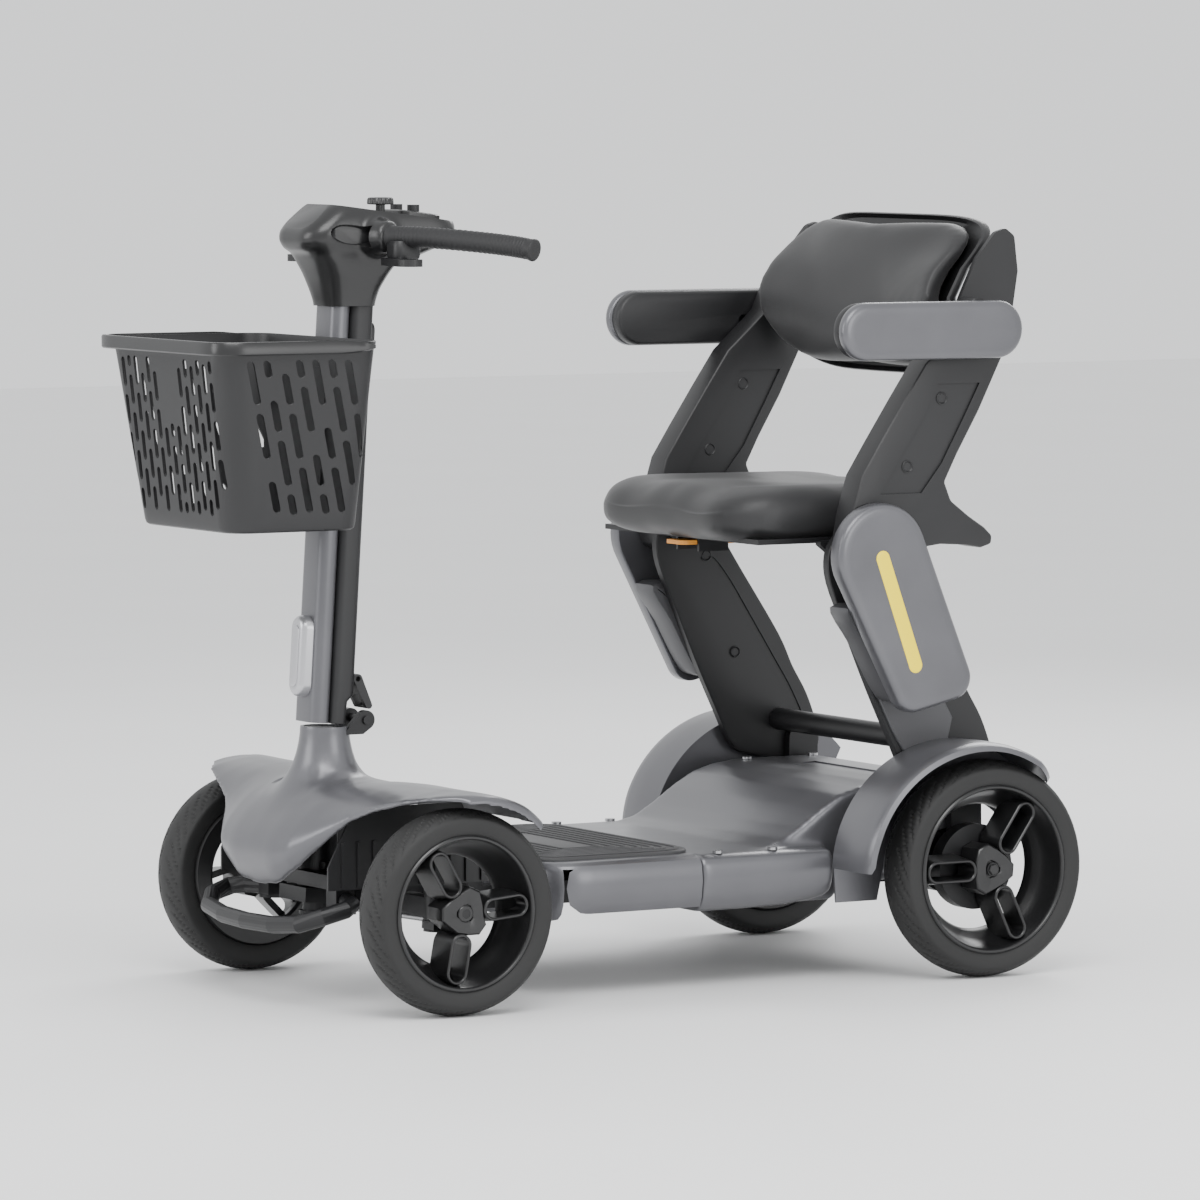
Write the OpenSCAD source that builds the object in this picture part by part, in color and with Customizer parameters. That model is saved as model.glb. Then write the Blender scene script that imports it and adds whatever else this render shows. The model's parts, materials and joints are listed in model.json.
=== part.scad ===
/* [Chassis] */
// Distance between the front and rear axles
wheelbase = 703; // [600:1:840]
// Half of the width over the footwell deck
deck_half_w = 203; // [180:1:215]
// Height of the footwell deck above the ground
deck_top = 156; // [150:1:165]
// Height of the deck's lower edge above the ground
deck_low = 90; // [75:1:100]
// Wall thickness of the moulded covers
cover_t = 3; // [2:0.5:4]

/* [Wheels] */
// Diameter of the front tyres
front_d = 233; // [200:1:236]
// Diameter of the rear tyres
rear_d = 254; // [220:1:258]
// Width of every tyre
tyre_w = 56; // [44:1:58]
// Distance from the middle plane to a tyre's middle plane
half_track = 246; // [240:1:256]
// Rim radius as a share of the tyre radius
rim_ratio = 0.72; // [0.6:0.01:0.76]

/* [Steering] */
// Backward lean of the steering axis in degrees
lean = 3.5; // [0:0.5:5]
// Radius of the steering shaft
shaft_r = 14; // [11:0.5:16]
// Radius of a kingpin
kingpin_r = 7; // [5:0.5:9]
// Length of the pitman and steering arms
arm_len = 44; // [38:1:50]

/* [Mast] */
// Width of the mast across the scooter
mast_w = 50; // [42:1:60]
// Depth of the mast along the scooter
mast_d = 53; // [46:1:58]
// Length of the mast along its own axis
mast_len = 480; // [400:1:560]
// Radius of the mast's hinge pin
hinge_r = 5; // [4:0.5:6]

/* [Basket] */
// Width of the basket at its rim
basket_w = 300; // [250:1:350]
// Height of the basket
basket_h = 212; // [180:1:240]
// Depth of the basket at its rim
basket_d = 205; // [170:1:240]

/* [Seat] */
// Half of the width of the seat cushion
seat_half_w = 184; // [150:1:185]
// Length of the seat cushion
seat_len = 318; // [270:1:330]
// Thickness of the seat cushion
seat_t = 58; // [48:1:70]
// Half of the width of the backrest
back_half_w = 198; // [160:1:199]
// Height of the backrest
back_h = 196; // [160:1:230]
// Radius of the seat's pivot pins
pivot_r = 9; // [7:0.5:11]

/* [Hidden] */

// Running clearance on the radius of every turning pin
fit = 0.05;
// Gap between parts that pass each other
gap = 1;
// Corner resolution of faceted shapes
facets = 32;

// The shape is laid out from the front axle; this puts the origin under the middle of the box
front_reach = 250;
origin_shift = (wheelbase + rear_d / 2 - front_reach) / 2;

front_r = front_d / 2;
rear_r = rear_d / 2;
rear_x = -wheelbase;
kingpin_y = half_track - tyre_w / 2 - 20;

// The steering axis passes the front axle's height at this x
stem_x = 46;

// Mast hinge, just above the tower and behind the mast
hinge_x = -8;
hinge_z = 314;
mast_z = 311;
mast_x = 36;

// Seat legs: lower pivot, upper pivot
foot_x = rear_x - 17;
foot_z = rear_d - 10;
top_x = foot_x + 164;
top_z = foot_z + 253;
leg_in = 188;
leg_t = 11;
arm_in = leg_in + leg_t + 1.5;
arm_t = 38;
outer_in = arm_in + arm_t + gap;
outer_t = 23;

// Wheel covers
fender_out = half_track + tyre_w / 2 + 11;

// ---------- helpers ----------

// Repeats its child on the left (1) or on the right (-1)
module side(s) {
    if (s > 0) children();
    else mirror([0, 1, 0]) children();
}

// Extrudes an outline drawn in x and z from y0 to y1
module slab(y0, y1) {
    translate([0, y1, 0]) rotate([90, 0, 0]) linear_extrude(y1 - y0) children();
}

// Turns things about the steering axis direction, round a point at height z
module leaned(x, z) {
    translate([x, 0, z]) rotate([0, -lean, 0]) children();
}

// Frame of the steering shaft: its z axis is the steering axis
module stem_frame() {
    leaned(0, front_r) translate([stem_x, 0, 0]) children();
}

// Round bar between two points
module bar(a, b, r) {
    v = b - a;
    len = norm(v);
    translate(a)
        rotate([0, acos(v[2] / len), atan2(v[1], v[0])])
            cylinder(h = len, r = r, $fn = 48);
}

// Round bar swept along a list of points that lie roughly level
module bent_bar(points, r, sides = 16) {
    last = len(points) - 1;
    function unit(v) = v / norm(v);
    function along(i) = unit(points[min(i + 1, last)] - points[max(i - 1, 0)]);
    function across(i) = unit(cross(along(i), [0, 0, 1]));
    rings = [for (i = [0 : last], k = [0 : sides - 1])
        let (a = 360 * k / sides, u = across(i), w = cross(u, along(i)))
            points[i] + r * (cos(a) * u + sin(a) * w)];
    walls = [for (i = [0 : last - 1], k = [0 : sides - 1])
        let (n = (k + 1) % sides) each [
            [i * sides + k, (i + 1) * sides + k, (i + 1) * sides + n],
            [i * sides + k, (i + 1) * sides + n, i * sides + n]]];
    ends = [[for (k = [0 : sides - 1]) k], [for (k = [sides - 1 : -1 : 0]) last * sides + k]];
    polyhedron(rings, concat(walls, ends));
}

// Rounded rectangle, centred
module round_rect(w, h, r) {
    square([w - 2 * r, h], center = true);
    square([w, h - 2 * r], center = true);
    for (i = [-1, 1], j = [-1, 1])
        translate([i * (w / 2 - r), j * (h / 2 - r)]) circle(r = r, $fn = 48);
}

// ---------- wheels ----------

// One tyre on its own axis, which lies along y
module tyre_shape(r) {
    rim_r = r * rim_ratio;
    w = tyre_w / 2;
    groove = 3;
    rotate([90, 0, 0]) difference() {
        rotate_extrude($fn = 96) polygon(concat(
            [[rim_r, -w + 5], [rim_r + 6, -w]],
            [for (a = [-50 : 10 : 50]) [r - 22 + 22 * cos(a), (w - 4) * sin(a) / sin(50)]],
            [[rim_r + 6, w], [rim_r, w - 5]]));
        for (z = [-12, 12]) translate([0, 0, z]) rotate_extrude($fn = 96)
            translate([r - groove / 2, 0]) square([groove * 2, 3], center = true);
    }
}

// One dished rim with three looped spokes; its open face looks along +y
module rim_shape(r) {
    rim_r = r * rim_ratio;
    w = tyre_w / 2;
    bore_r = 8;
    hub_r = 20;
    lip = 4;
    rotate([-90, 0, 0]) {
        rotate_extrude($fn = 96) polygon([[rim_r - lip, -w + 4], [rim_r, -w + 4], [rim_r, w - 4],
            [rim_r + 1.5, w], [rim_r - 8, w + 1], [rim_r - 10, w - 6], [rim_r - lip, w - 12]]);
        difference() {
            union() {
                translate([0, 0, -8]) cylinder(h = w + 2, r = hub_r, $fn = 64);
                for (k = [0 : 2]) rotate([0, 0, 120 * k + 5]) spoke(rim_r - lip, hub_r, w - 20);
            }
            translate([0, 0, -20]) cylinder(h = 60, r = bore_r + fit, $fn = 48);
        }
        translate([0, 0, w - 4]) cylinder(h = 6, r = 11, $fn = 6);
    }
}

// Flat looped spoke in the wheel's plane
module spoke(reach, hub_r, z) {
    spoke_w = 34;
    spoke_t = 10;
    translate([0, 0, z]) linear_extrude(spoke_t) difference() {
        translate([hub_r - 5, -spoke_w / 2]) square([reach - hub_r + 6, spoke_w]);
        translate([hub_r + 12, 0]) round_slot(reach - hub_r - 26, spoke_w - 16);
    }
}

module round_slot(length, width) {
    translate([width / 2, 0]) circle(d = width, $fn = 32);
    translate([length - width / 2, 0]) circle(d = width, $fn = 32);
    translate([width / 2, -width / 2]) square([length - width, width]);
}

module wheel_at(x, r, s) {
    side(s) translate([x, half_track, r]) children();
}

module front_tyre_left() color([0.05, 0.05, 0.05]) wheel_at(0, front_r, 1) tyre_shape(front_r);
module front_tyre_right() color([0.05, 0.05, 0.05]) wheel_at(0, front_r, -1) tyre_shape(front_r);
module rear_tyre_left() color([0.05, 0.05, 0.05]) wheel_at(rear_x, rear_r, 1) tyre_shape(rear_r);
module rear_tyre_right() color([0.05, 0.05, 0.05]) wheel_at(rear_x, rear_r, -1) tyre_shape(rear_r);
module front_rim_left() color([0.1, 0.1, 0.1]) wheel_at(0, front_r, 1) rim_shape(front_r);
module front_rim_right() color([0.1, 0.1, 0.1]) wheel_at(0, front_r, -1) rim_shape(front_r);
module rear_rim_left() color([0.1, 0.1, 0.1]) wheel_at(rear_x, rear_r, 1) rim_shape(rear_r);
module rear_rim_right() color([0.1, 0.1, 0.1]) wheel_at(rear_x, rear_r, -1) rim_shape(rear_r);

// ---------- steering ----------

lug_t = 9;
eye_h = 28;
axle_r = 8;

// Axle stub that a wheel turns on, from y0 outwards
module axle_stub(y0) {
    tip = half_track + tyre_w / 2 - 5;
    translate([0, y0, 0]) rotate([-90, 0, 0]) cylinder(h = tip - y0, r = axle_r, $fn = 48);
}

module knuckle(s) {
    web_y = kingpin_y + 15;
    web_t = 9;
    side(s) leaned(0, front_r) {
        for (z = [eye_h / 2 + 0.5, -eye_h / 2 - 0.5 - lug_t]) translate([0, 0, z]) hull() {
            translate([0, kingpin_y, 0]) cylinder(h = lug_t, r = 14, $fn = facets);
            translate([-14, web_y, 0]) cube([28, web_t, lug_t]);
        }
        translate([-14, web_y, -eye_h / 2 - lug_t]) cube([28, web_t, eye_h + 2 * lug_t]);
        translate([0, kingpin_y, -eye_h / 2 - lug_t - 4])
            cylinder(h = eye_h + 2 * lug_t + 8, r = kingpin_r, $fn = 48);
        // Steering arm under the beam, carrying the tie rod's pin
        translate([0, 0, -eye_h / 2 - lug_t - 4]) linear_extrude(4) hull() {
            translate([0, kingpin_y]) circle(r = 12, $fn = facets);
            translate([-arm_len, kingpin_y]) circle(r = 9, $fn = facets);
        }
        translate([-arm_len, kingpin_y, -eye_h / 2 - lug_t]) cylinder(h = 9, r = 4, $fn = 32);
        axle_stub(web_y + web_t - 0.01);
    }
}

module knuckle_left() color([0.12, 0.12, 0.12]) knuckle(1);
module knuckle_right() color([0.12, 0.12, 0.12]) knuckle(-1);

// Height of the tie rods' middle, measured along the leaned axis from the front axle
rod_z = -eye_h / 2 - lug_t + 4;

// One bent rod joins the pitman arm to both knuckles; it shifts sideways and never turns
module tie_rod() color("silver") {
    eye_r = 9;
    pin_r = 4;
    slack = 0.6;
    middle = [stem_x - arm_len, 0, rod_z];
    ends = [for (s = [-1, 1]) [-arm_len, s * kingpin_y, rod_z]];
    leaned(0, front_r) difference() {
        union() {
            for (e = ends) bar(middle, e, 4);
            for (p = concat(ends, [middle])) translate(p - [0, 0, 3.5]) cylinder(h = 7, r = eye_r, $fn = 48);
        }
        translate(middle - [0, 0, 10]) cylinder(h = 20, r = pin_r + fit, $fn = 48);
        for (e = ends) translate(e - [0, 0, 10]) cylinder(h = 20, r = pin_r + slack, $fn = 48);
    }
}

tower_low = 6;
tower_high = 176;
neck_r = 28;
yoke_low = tower_high + 1;
yoke_t = 10;

// Shaft with the pitman arm at its foot and the hinge yoke on its head
module steering_stem() color([0.2, 0.2, 0.2]) {
    arm_z = -eye_h / 2 - lug_t - 4;
    stem_frame() {
        translate([0, 0, arm_z + 1]) cylinder(h = yoke_low - arm_z + 1, r = shaft_r, $fn = 64);
        translate([0, 0, yoke_low]) cylinder(h = yoke_t, r = neck_r - 4, $fn = 64);
        translate([0, 0, arm_z]) linear_extrude(4) hull() {
            circle(r = shaft_r + 4, $fn = facets);
            translate([-arm_len, 0]) circle(r = 9, $fn = facets);
        }
        translate([-arm_len, 0, arm_z + 1]) cylinder(h = 12, r = 4, $fn = 32);
    }
    for (s = [-1, 1]) side(s) slab(14, 23) hull() {
        translate([hinge_x, hinge_z]) circle(r = 11, $fn = facets);
        translate([hinge_x + 4, mast_z - 13]) square([22, 4]);
    }
    // Hinge pin of the folding mast
    slab(-26, 26) translate([hinge_x, hinge_z]) circle(r = hinge_r, $fn = 48);
}

// Tube that guides the steering shaft, welded on the beam
module steering_tower() color([0.12, 0.12, 0.12]) {
    stem_frame() difference() {
        union() {
            translate([0, 0, tower_low]) cylinder(h = tower_high - tower_low, r = shaft_r + 8, $fn = 64);
            translate([-22, -34, tower_low + 21]) cube([30, 68, 8]);
        }
        translate([0, 0, -20]) cylinder(h = 240, r = shaft_r + fit, $fn = 64);
    }
}

// Cross beam with an eye for each kingpin and a clamp for the tower
module front_axle_beam() color([0.12, 0.12, 0.12]) difference() {
    leaned(0, front_r) {
        for (s = [-1, 1]) translate([0, s * kingpin_y, -eye_h / 2])
            cylinder(h = eye_h, r = 13, $fn = 64);
        difference() {
            translate([-13, -kingpin_y, -11]) cube([26, 2 * kingpin_y, 22]);
            for (s = [-1, 1]) translate([0, s * kingpin_y, -20]) cylinder(h = 40, r = 12.9, $fn = 64);
        }
        translate([10, -32, -11]) cube([stem_x + 20, 64, 16.5]);
    }
    leaned(0, front_r) for (s = [-1, 1]) translate([0, s * kingpin_y, -30])
        cylinder(h = 60, r = kingpin_r + fit, $fn = 64);
    stem_frame() translate([0, 0, -40]) cylinder(h = 80, r = shaft_r + 2, $fn = 64);
}

// ---------- chassis ----------

rail_y = 70;
rail_w = 24;
rail_low = 98;
seam_x = rear_x + 354;
deck_front_x = -152;
deck_end_x = rear_x + 170;
hump_half_w = 172;
hump_top = deck_top + 69;
hump_front = rear_x + 98;
hump_rear = rear_x - 50;

// Two rails under the deck, raised over the front axle, with cross members
module main_frame() color([0.1, 0.1, 0.1]) {
    raised = front_r + 12;
    difference() {
        union() {
            for (s = [-1, 1]) side(s) {
                translate([hump_rear + 8, rail_y, rail_low]) cube([-100 - hump_rear - 8, rail_w, 26]);
                translate([-120, rail_y, rail_low]) cube([20, rail_w, raised + 16 - rail_low]);
                translate([-101, rail_y, raised]) cube([171, rail_w, 16]);
            }
            translate([20, -rail_y - 1, raised]) cube([50, 2 * rail_y + 2, 16]);
            for (s = [-1, 1]) side(s) translate([46, rail_y, raised - 20]) cube([24, rail_w, 21]);
            for (x = [seam_x + 6, deck_end_x, hump_rear + 8])
                translate([x, -rail_y - 1, rail_low + 2]) cube([24, 2 * rail_y + 2, 22]);
            for (s = [-1, 1]) side(s) translate([foot_x - 22, rail_y + rail_w - 1, rail_low])
                cube([44, 186 - rail_y - rail_w + 1, 10]);
        }
        stem_frame() cylinder(h = 80, r = shaft_r + 8.4, $fn = 64);
        // Room for the gear motors
        for (s = [-1, 1]) side(s) translate([rear_x, 58, rear_r])
            rotate([-90, 0, 0]) cylinder(h = 116, r = 37, $fn = 64);
    }
}

module deck_outline(x0, x1, r) {
    translate([(x0 + x1) / 2, 0]) round_rect(x1 - x0, 2 * deck_half_w, r);
}

// Moulded footwell: a tray turned upside down, from x0 forward to x1
module deck_shell(x0, x1, front_round) {
    difference() {
        translate([0, 0, deck_low]) linear_extrude(deck_top - deck_low) union() {
            deck_outline(x0, x1, front_round);
            translate([x0, -deck_half_w]) square([(x1 - x0) / 2, 2 * deck_half_w]);
        }
        translate([x0 + cover_t, -deck_half_w + cover_t, deck_low - 1])
            cube([x1 - x0 - 2 * cover_t - 14, 2 * (deck_half_w - cover_t), deck_top - deck_low - cover_t + 1]);
        for (s = [-1, 1]) translate([x0 - 1, s * (rail_y + rail_w / 2) - rail_w / 2 - 1, deck_low - 1])
            cube([x1 - x0 + 2, rail_w + 2, rail_low + 27 - deck_low]);
    }
}

module deck_front() color([0.42, 0.42, 0.43]) deck_shell(seam_x + gap / 2, deck_front_x, 40);

// Rear footwell with the ramp up to the body cover
module deck_rear() color([0.42, 0.42, 0.43]) difference() {
    deck_shell(deck_end_x, seam_x - gap / 2, 1);
    translate([deck_end_x - 1, -hump_half_w - 1, deck_low - 1])
        cube([70, 2 * hump_half_w + 2, deck_top]);
}

mat_t = 4;
mat_half_w = 171;
module deck_mat() color([0.08, 0.08, 0.08]) translate([0, 0, deck_top]) difference() {
    mat_x0 = seam_x + 4;
    mat_x1 = deck_front_x - 12;
    linear_extrude(mat_t) translate([(mat_x0 + mat_x1) / 2, 0])
        round_rect(mat_x1 - mat_x0, 2 * mat_half_w, 36);
    for (x = [mat_x0 + 16 : 12 : mat_x1 - 30]) translate([x, -150, mat_t - 1.5])
        cube([4, 300, 3]);
}

// Raised cover over the motors, with a ramp at its front
module rear_body_cover() color([0.42, 0.42, 0.43]) difference() {
    slab(-hump_half_w, hump_half_w) polygon([[hump_rear, deck_low + 20], [deck_end_x + 68, deck_low + 20],
        [deck_end_x + 68, deck_top], [hump_front + 52, deck_top + 26], [hump_front, hump_top],
        [hump_rear + 18, hump_top], [hump_rear, hump_top - 22]]);
    slab(-hump_half_w + cover_t, hump_half_w - cover_t) polygon([[hump_rear + cover_t, deck_low],
        [deck_end_x + 68 - cover_t, deck_low], [deck_end_x + 68 - cover_t, deck_top - 4],
        [hump_front + 50, deck_top + 22], [hump_front - 2, hump_top - cover_t],
        [hump_rear + 20, hump_top - cover_t], [hump_rear + cover_t, hump_top - 24]]);
    translate([rear_x, -300, rear_r]) rotate([-90, 0, 0]) cylinder(h = 600, r = 19, $fn = 48);
    for (s = [-1, 1]) translate([rear_x, 0, rear_r]) side(s) translate([-19, 160, -60])
        cube([38, 30, 60]);
    // Opening for the charge cap
    translate([hump_rear - 1, -15, hump_top - 62]) cube([cover_t + 2, 30, 22]);
    // Slots for the rails and over the frame's rear tabs
    for (s = [-1, 1]) side(s) translate([deck_end_x + 60, rail_y - 1, deck_low])
        cube([20, rail_w + 2, rail_low + 27 - deck_low]);
    for (s = [-1, 1]) side(s) translate([foot_x - 23, hump_half_w - 5, deck_low]) cube([46, 10, 30]);
}

// Outline of a rear wheel cover, t below its outer face
module fender_band(t0, t1) {
    front_a = 160;
    rear_a = 144;
    top_b = rear_r + 22;
    steps = 28;
    centre = [rear_x + 20, rear_r];
    polygon(concat(
        [for (i = [0 : steps]) let (a = 132 * i / steps, ax = cos(a) > 0 ? front_a : rear_a)
            centre + [(ax - t0) * cos(a), (top_b - t0) * sin(a)]],
        [for (i = [steps : -1 : 0]) let (a = 132 * i / steps, ax = cos(a) > 0 ? front_a : rear_a)
            centre + [(ax - t1) * cos(a), (top_b - t1) * sin(a)]]));
}

module rear_fender() {
    slab(deck_half_w, fender_out) fender_band(0, cover_t);
    difference() {
        slab(deck_half_w, deck_half_w + cover_t) union() {
            fender_band(0, 60);
            translate([rear_x + 100, deck_low]) square([79, 50]);
        }
        translate([rear_x, 0, rear_r]) rotate([-90, 0, 0]) cylinder(h = 400, r = 62, $fn = 64);
    }
}

module rear_fender_left() color([0.42, 0.42, 0.43]) rear_fender();
module rear_fender_right() color([0.42, 0.42, 0.43]) side(-1) rear_fender();

module battery_pack() color([0.15, 0.15, 0.17])
    translate([seam_x + 31, -rail_y + 4, rail_low]) cube([146, 2 * rail_y - 8, 48]);

module motor_controller() color([0.3, 0.3, 0.3]) {
    base_x = hump_front - 4;
    translate([base_x, -50, deck_top - 30]) cube([70, 100, 8]);
    for (i = [0 : 6]) translate([base_x + 3 + 10 * i, -50, deck_top - 22]) cube([4, 100, 14]);
}

// Two gear motors with their drums and output axles
module gear_motors() color([0.25, 0.25, 0.25]) for (s = [-1, 1]) side(s)
    translate([rear_x, 0, rear_r]) rotate([-90, 0, 0]) {
        translate([0, 0, 60]) cylinder(h = 108, r = 36, $fn = 64);
        translate([0, 0, 168]) cylinder(h = 44, r = 18, $fn = 64);
        translate([0, 0, 212]) cylinder(h = 20, r = 50, $fn = 64);
        translate([0, 0, 232]) cylinder(h = half_track + tyre_w / 2 - 5 - 232, r = axle_r, $fn = 48);
    }

bracket_in = 175;
// Upright plates that carry the legs' lower pins
module leg_brackets() color([0.1, 0.1, 0.1]) for (s = [-1, 1]) side(s) {
    difference() {
        slab(bracket_in, 186) hull() {
            translate([foot_x, foot_z]) circle(r = 20, $fn = facets);
            translate([foot_x - 22, rail_low + 10]) square([44, 4]);
        }
        translate([rear_x, 0, rear_r]) rotate([-90, 0, 0]) cylinder(h = 400, r = 19, $fn = 48);
    }
    translate([foot_x, 180, foot_z]) rotate([-90, 0, 0]) cylinder(h = 22, r = pivot_r, $fn = 48);
}

// Screws on the deck and body cover, with flat round heads
module chassis_bolts() color("silver") {
    head_r = 6;
    for (s = [-1, 1]) {
        for (x = [seam_x - 30, deck_end_x + 80]) translate([x, s * (deck_half_w - 18), deck_top])
            cylinder(h = 3, r = head_r, $fn = 32);
        for (x = [hump_front - 20, hump_rear + 34]) translate([x, s * (hump_half_w - 20), hump_top])
            cylinder(h = 3, r = head_r, $fn = 32);
    }
}

// Flap over the charging socket, hinged along its top edge
module charge_cap() color([0.07, 0.07, 0.07]) {
    translate([hump_rear - 4, -17, hump_top - 64]) cube([3.5, 34, 26]);
    translate([hump_rear - 1, -13, hump_top - 60]) cube([4, 26, 16]);
}

// Bumper bar in front of the wheels, welded to the rails
module front_bumper() color([0.06, 0.06, 0.06]) {
    r = 10;
    nose = 133;
    pts = [[58, rail_y + rail_w + 4, 117], [68, 126, 116], [84, 142, 113], [108, 136, 106], [126, 110, 96],
        [nose, 60, 91], [nose + 3, 0, 90]];
    all = concat(pts, [for (i = [5 : -1 : 0]) [pts[i][0], -pts[i][1], pts[i][2]]]);
    bent_bar(all, r);
}

arch_front = 142;
arch_rear = 150;
arch_b = 132;

// Band over a front wheel; t is its thickness, a0 and a1 its ends
module arch_profile(t, a0, a1) {
    steps = 20;
    polygon(concat(
        [for (i = [0 : steps]) let (a = a0 + (a1 - a0) * i / steps)
            [(cos(a) > 0 ? arch_front + t : arch_rear + t) * cos(a), front_r + (arch_b + t) * sin(a)]],
        [for (i = [steps : -1 : 0]) let (a = a0 + (a1 - a0) * i / steps)
            [(cos(a) > 0 ? arch_front : arch_rear) * cos(a), front_r + arch_b * sin(a)]]));
}

// Body of the front cover, grown by g; its top ring runs round the steering axis
module tower_form(g) {
    hull() {
        translate([8, 0, 131 - g]) linear_extrude(1) round_rect(216 + 2 * g, 244 + 2 * g, 40);
        translate([3, 0, 186]) linear_extrude(1) round_rect(236 + 2 * g, 250 + 2 * g, 44);
        translate([6, 0, 240 + g]) linear_extrude(1) round_rect(170 + 2 * g, 170 + 2 * g, 60);
        translate([34, 0, 296 + g]) cylinder(h = 1, r = neck_r + g, $fn = facets);
    }
}

module front_cowl() color([0.42, 0.42, 0.43]) difference() {
    union() {
        tower_form(0);
        for (s = [-1, 1]) side(s) {
            slab(60, 222) arch_profile(4, 44, 140);
            slab(221.9, fender_out) arch_profile(4, 62, 134);
        }
    }
    tower_form(-cover_t);
    translate([3, 0, 100]) linear_extrude(60) round_rect(216, 240, 30);
    stem_frame() translate([0, 0, 150]) cylinder(h = 80, r = neck_r - 3, $fn = 64);
    slab(-24, 24) polygon([[-30, 240], [20, 270], [20, 330], [-30, 330]]);
}

// Upright inner walls between the front wheels and the frame
module wheel_arch_liners() color([0.06, 0.06, 0.06]) for (s = [-1, 1]) side(s) {
    slab(128, 131) polygon([[-112, 134], [-72, 226], [66, 226], [100, 160], [100, 134]]);
    for (x = [-100 : 20 : 90]) translate([x, 131, 136]) cube([4, 3, 52]);
}

// ---------- mast ----------

split_x = -9;
wall = 4;

module mast_section(cut_front) {
    intersection() {
        difference() {
            round_rect(mast_d, mast_w, 14);
            round_rect(mast_d - 2 * wall, mast_w - 2 * wall, 10);
        }
        if (cut_front) translate([split_x, -50]) square([80, 100]);
        else translate([-80, -50]) square([80 + split_x - 0.2, 100]);
    }
}

// Extruded front profile of the mast with its hinge lug
module mast_tube() color([0.42, 0.42, 0.43]) difference() {
    union() {
        leaned(mast_x, mast_z) {
            linear_extrude(mast_len) mast_section(true);
            linear_extrude(8) intersection() {
                round_rect(mast_d - 2, mast_w - 2, 12);
                translate([split_x, -50]) square([80, 100]);
            }
        }
        slab(-13.4, 13.4) hull() {
            translate([hinge_x, hinge_z + 1]) circle(r = 9, $fn = facets);
            translate([mast_x - 12, mast_z + 1]) square([6, 18]);
        }
    }
    translate([hinge_x, -100, hinge_z]) rotate([-90, 0, 0]) cylinder(h = 200, r = hinge_r + fit, $fn = 48);
}

// Black channel that closes the mast at its rear
module mast_rear_cover() color([0.06, 0.06, 0.06]) difference() {
    union() {
        leaned(mast_x, mast_z) translate([0, 0, 34]) linear_extrude(mast_len - 34) mast_section(false);
        leaned(mast_x, mast_z) for (s = [-1, 1]) side(s) slab(16, 20) hull() {
            translate([-mast_d / 2 - 8, 52]) circle(r = 6, $fn = facets);
            translate([-mast_d / 2 + 1, 44]) square([2, 18]);
        }
        leaned(mast_x, mast_z) slab(-17, 17) translate([-mast_d / 2 - 8, 52]) circle(r = 3, $fn = 48);
    }
    leaned(mast_x, mast_z) translate([0, 0, mast_len - 36]) rotate([0, -90, 0])
        translate([0, 0, 10]) linear_extrude(40) round_rect(30.6, 20.6, 10);
}

// Paddle that locks the mast upright
module fold_latch() color([0.05, 0.05, 0.05]) leaned(mast_x, mast_z) difference() {
    slab(-15.5, 15.5) hull() {
        translate([-mast_d / 2 - 8, 52]) circle(r = 5.5, $fn = facets);
        translate([-mast_d / 2 - 24, 22]) circle(r = 4, $fn = facets);
    }
    slab(-40, 40) translate([-mast_d / 2 - 8, 52]) circle(r = 3 + fit, $fn = 48);
    slab(-9, 9) hull() {
        translate([-mast_d / 2 - 15, 38]) circle(r = 4, $fn = facets);
        translate([-mast_d / 2 - 22, 26]) circle(r = 6, $fn = facets);
    }
}

// Push button that releases the mast's upper stem
module stem_latch() color([0.05, 0.05, 0.05]) leaned(mast_x, mast_z)
    translate([0, 0, mast_len - 36]) rotate([0, -90, 0]) translate([0, 0, 18])
        linear_extrude(18) round_rect(30, 20, 9.7);

module headlight() color([0.75, 0.75, 0.76]) leaned(mast_x, mast_z)
    translate([mast_d / 2, 0, 76]) rotate([90, 0, 90]) {
        linear_extrude(12) round_rect(31, 93, 15.4);
        translate([0, 0, 12]) linear_extrude(6) round_rect(25, 87, 12.4);
    }

// ---------- basket ----------

basket_gap = 5;
basket_x = mast_d / 2 + basket_gap;
basket_z = 226;
basket_wall = 3;

module basket_form(g, z0, z1) {
    taper = 30;
    hull() {
        translate([basket_x + (basket_d - 2 * taper + 26) / 2, 0, basket_z + z0]) linear_extrude(1)
            round_rect(basket_d - 2 * taper + 26 - 2 * g, basket_w - 2 * taper - 2 * g, 28);
        translate([basket_x + basket_d / 2, 0, basket_z + z1 - 1]) linear_extrude(1)
            round_rect(basket_d - 2 * g, basket_w - 2 * g, 34);
    }
}

module basket() color([0.07, 0.07, 0.07]) leaned(mast_x, mast_z) difference() {
    basket_form(0, 0, basket_h);
    basket_form(basket_wall, basket_wall, basket_h + 3);
    for (s = [-1, 1]) translate([basket_x + 30, 0, basket_z + basket_h - 12])
        rotate([-90, 0, 0]) translate([0, 0, -200]) cylinder(h = 400, r = 4, $fn = 32);
}

module basket_bracket() color([0.06, 0.06, 0.06]) leaned(mast_x, mast_z)
    translate([mast_d / 2, -22, basket_z + 40]) cube([basket_gap, 44, 140]);

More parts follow.
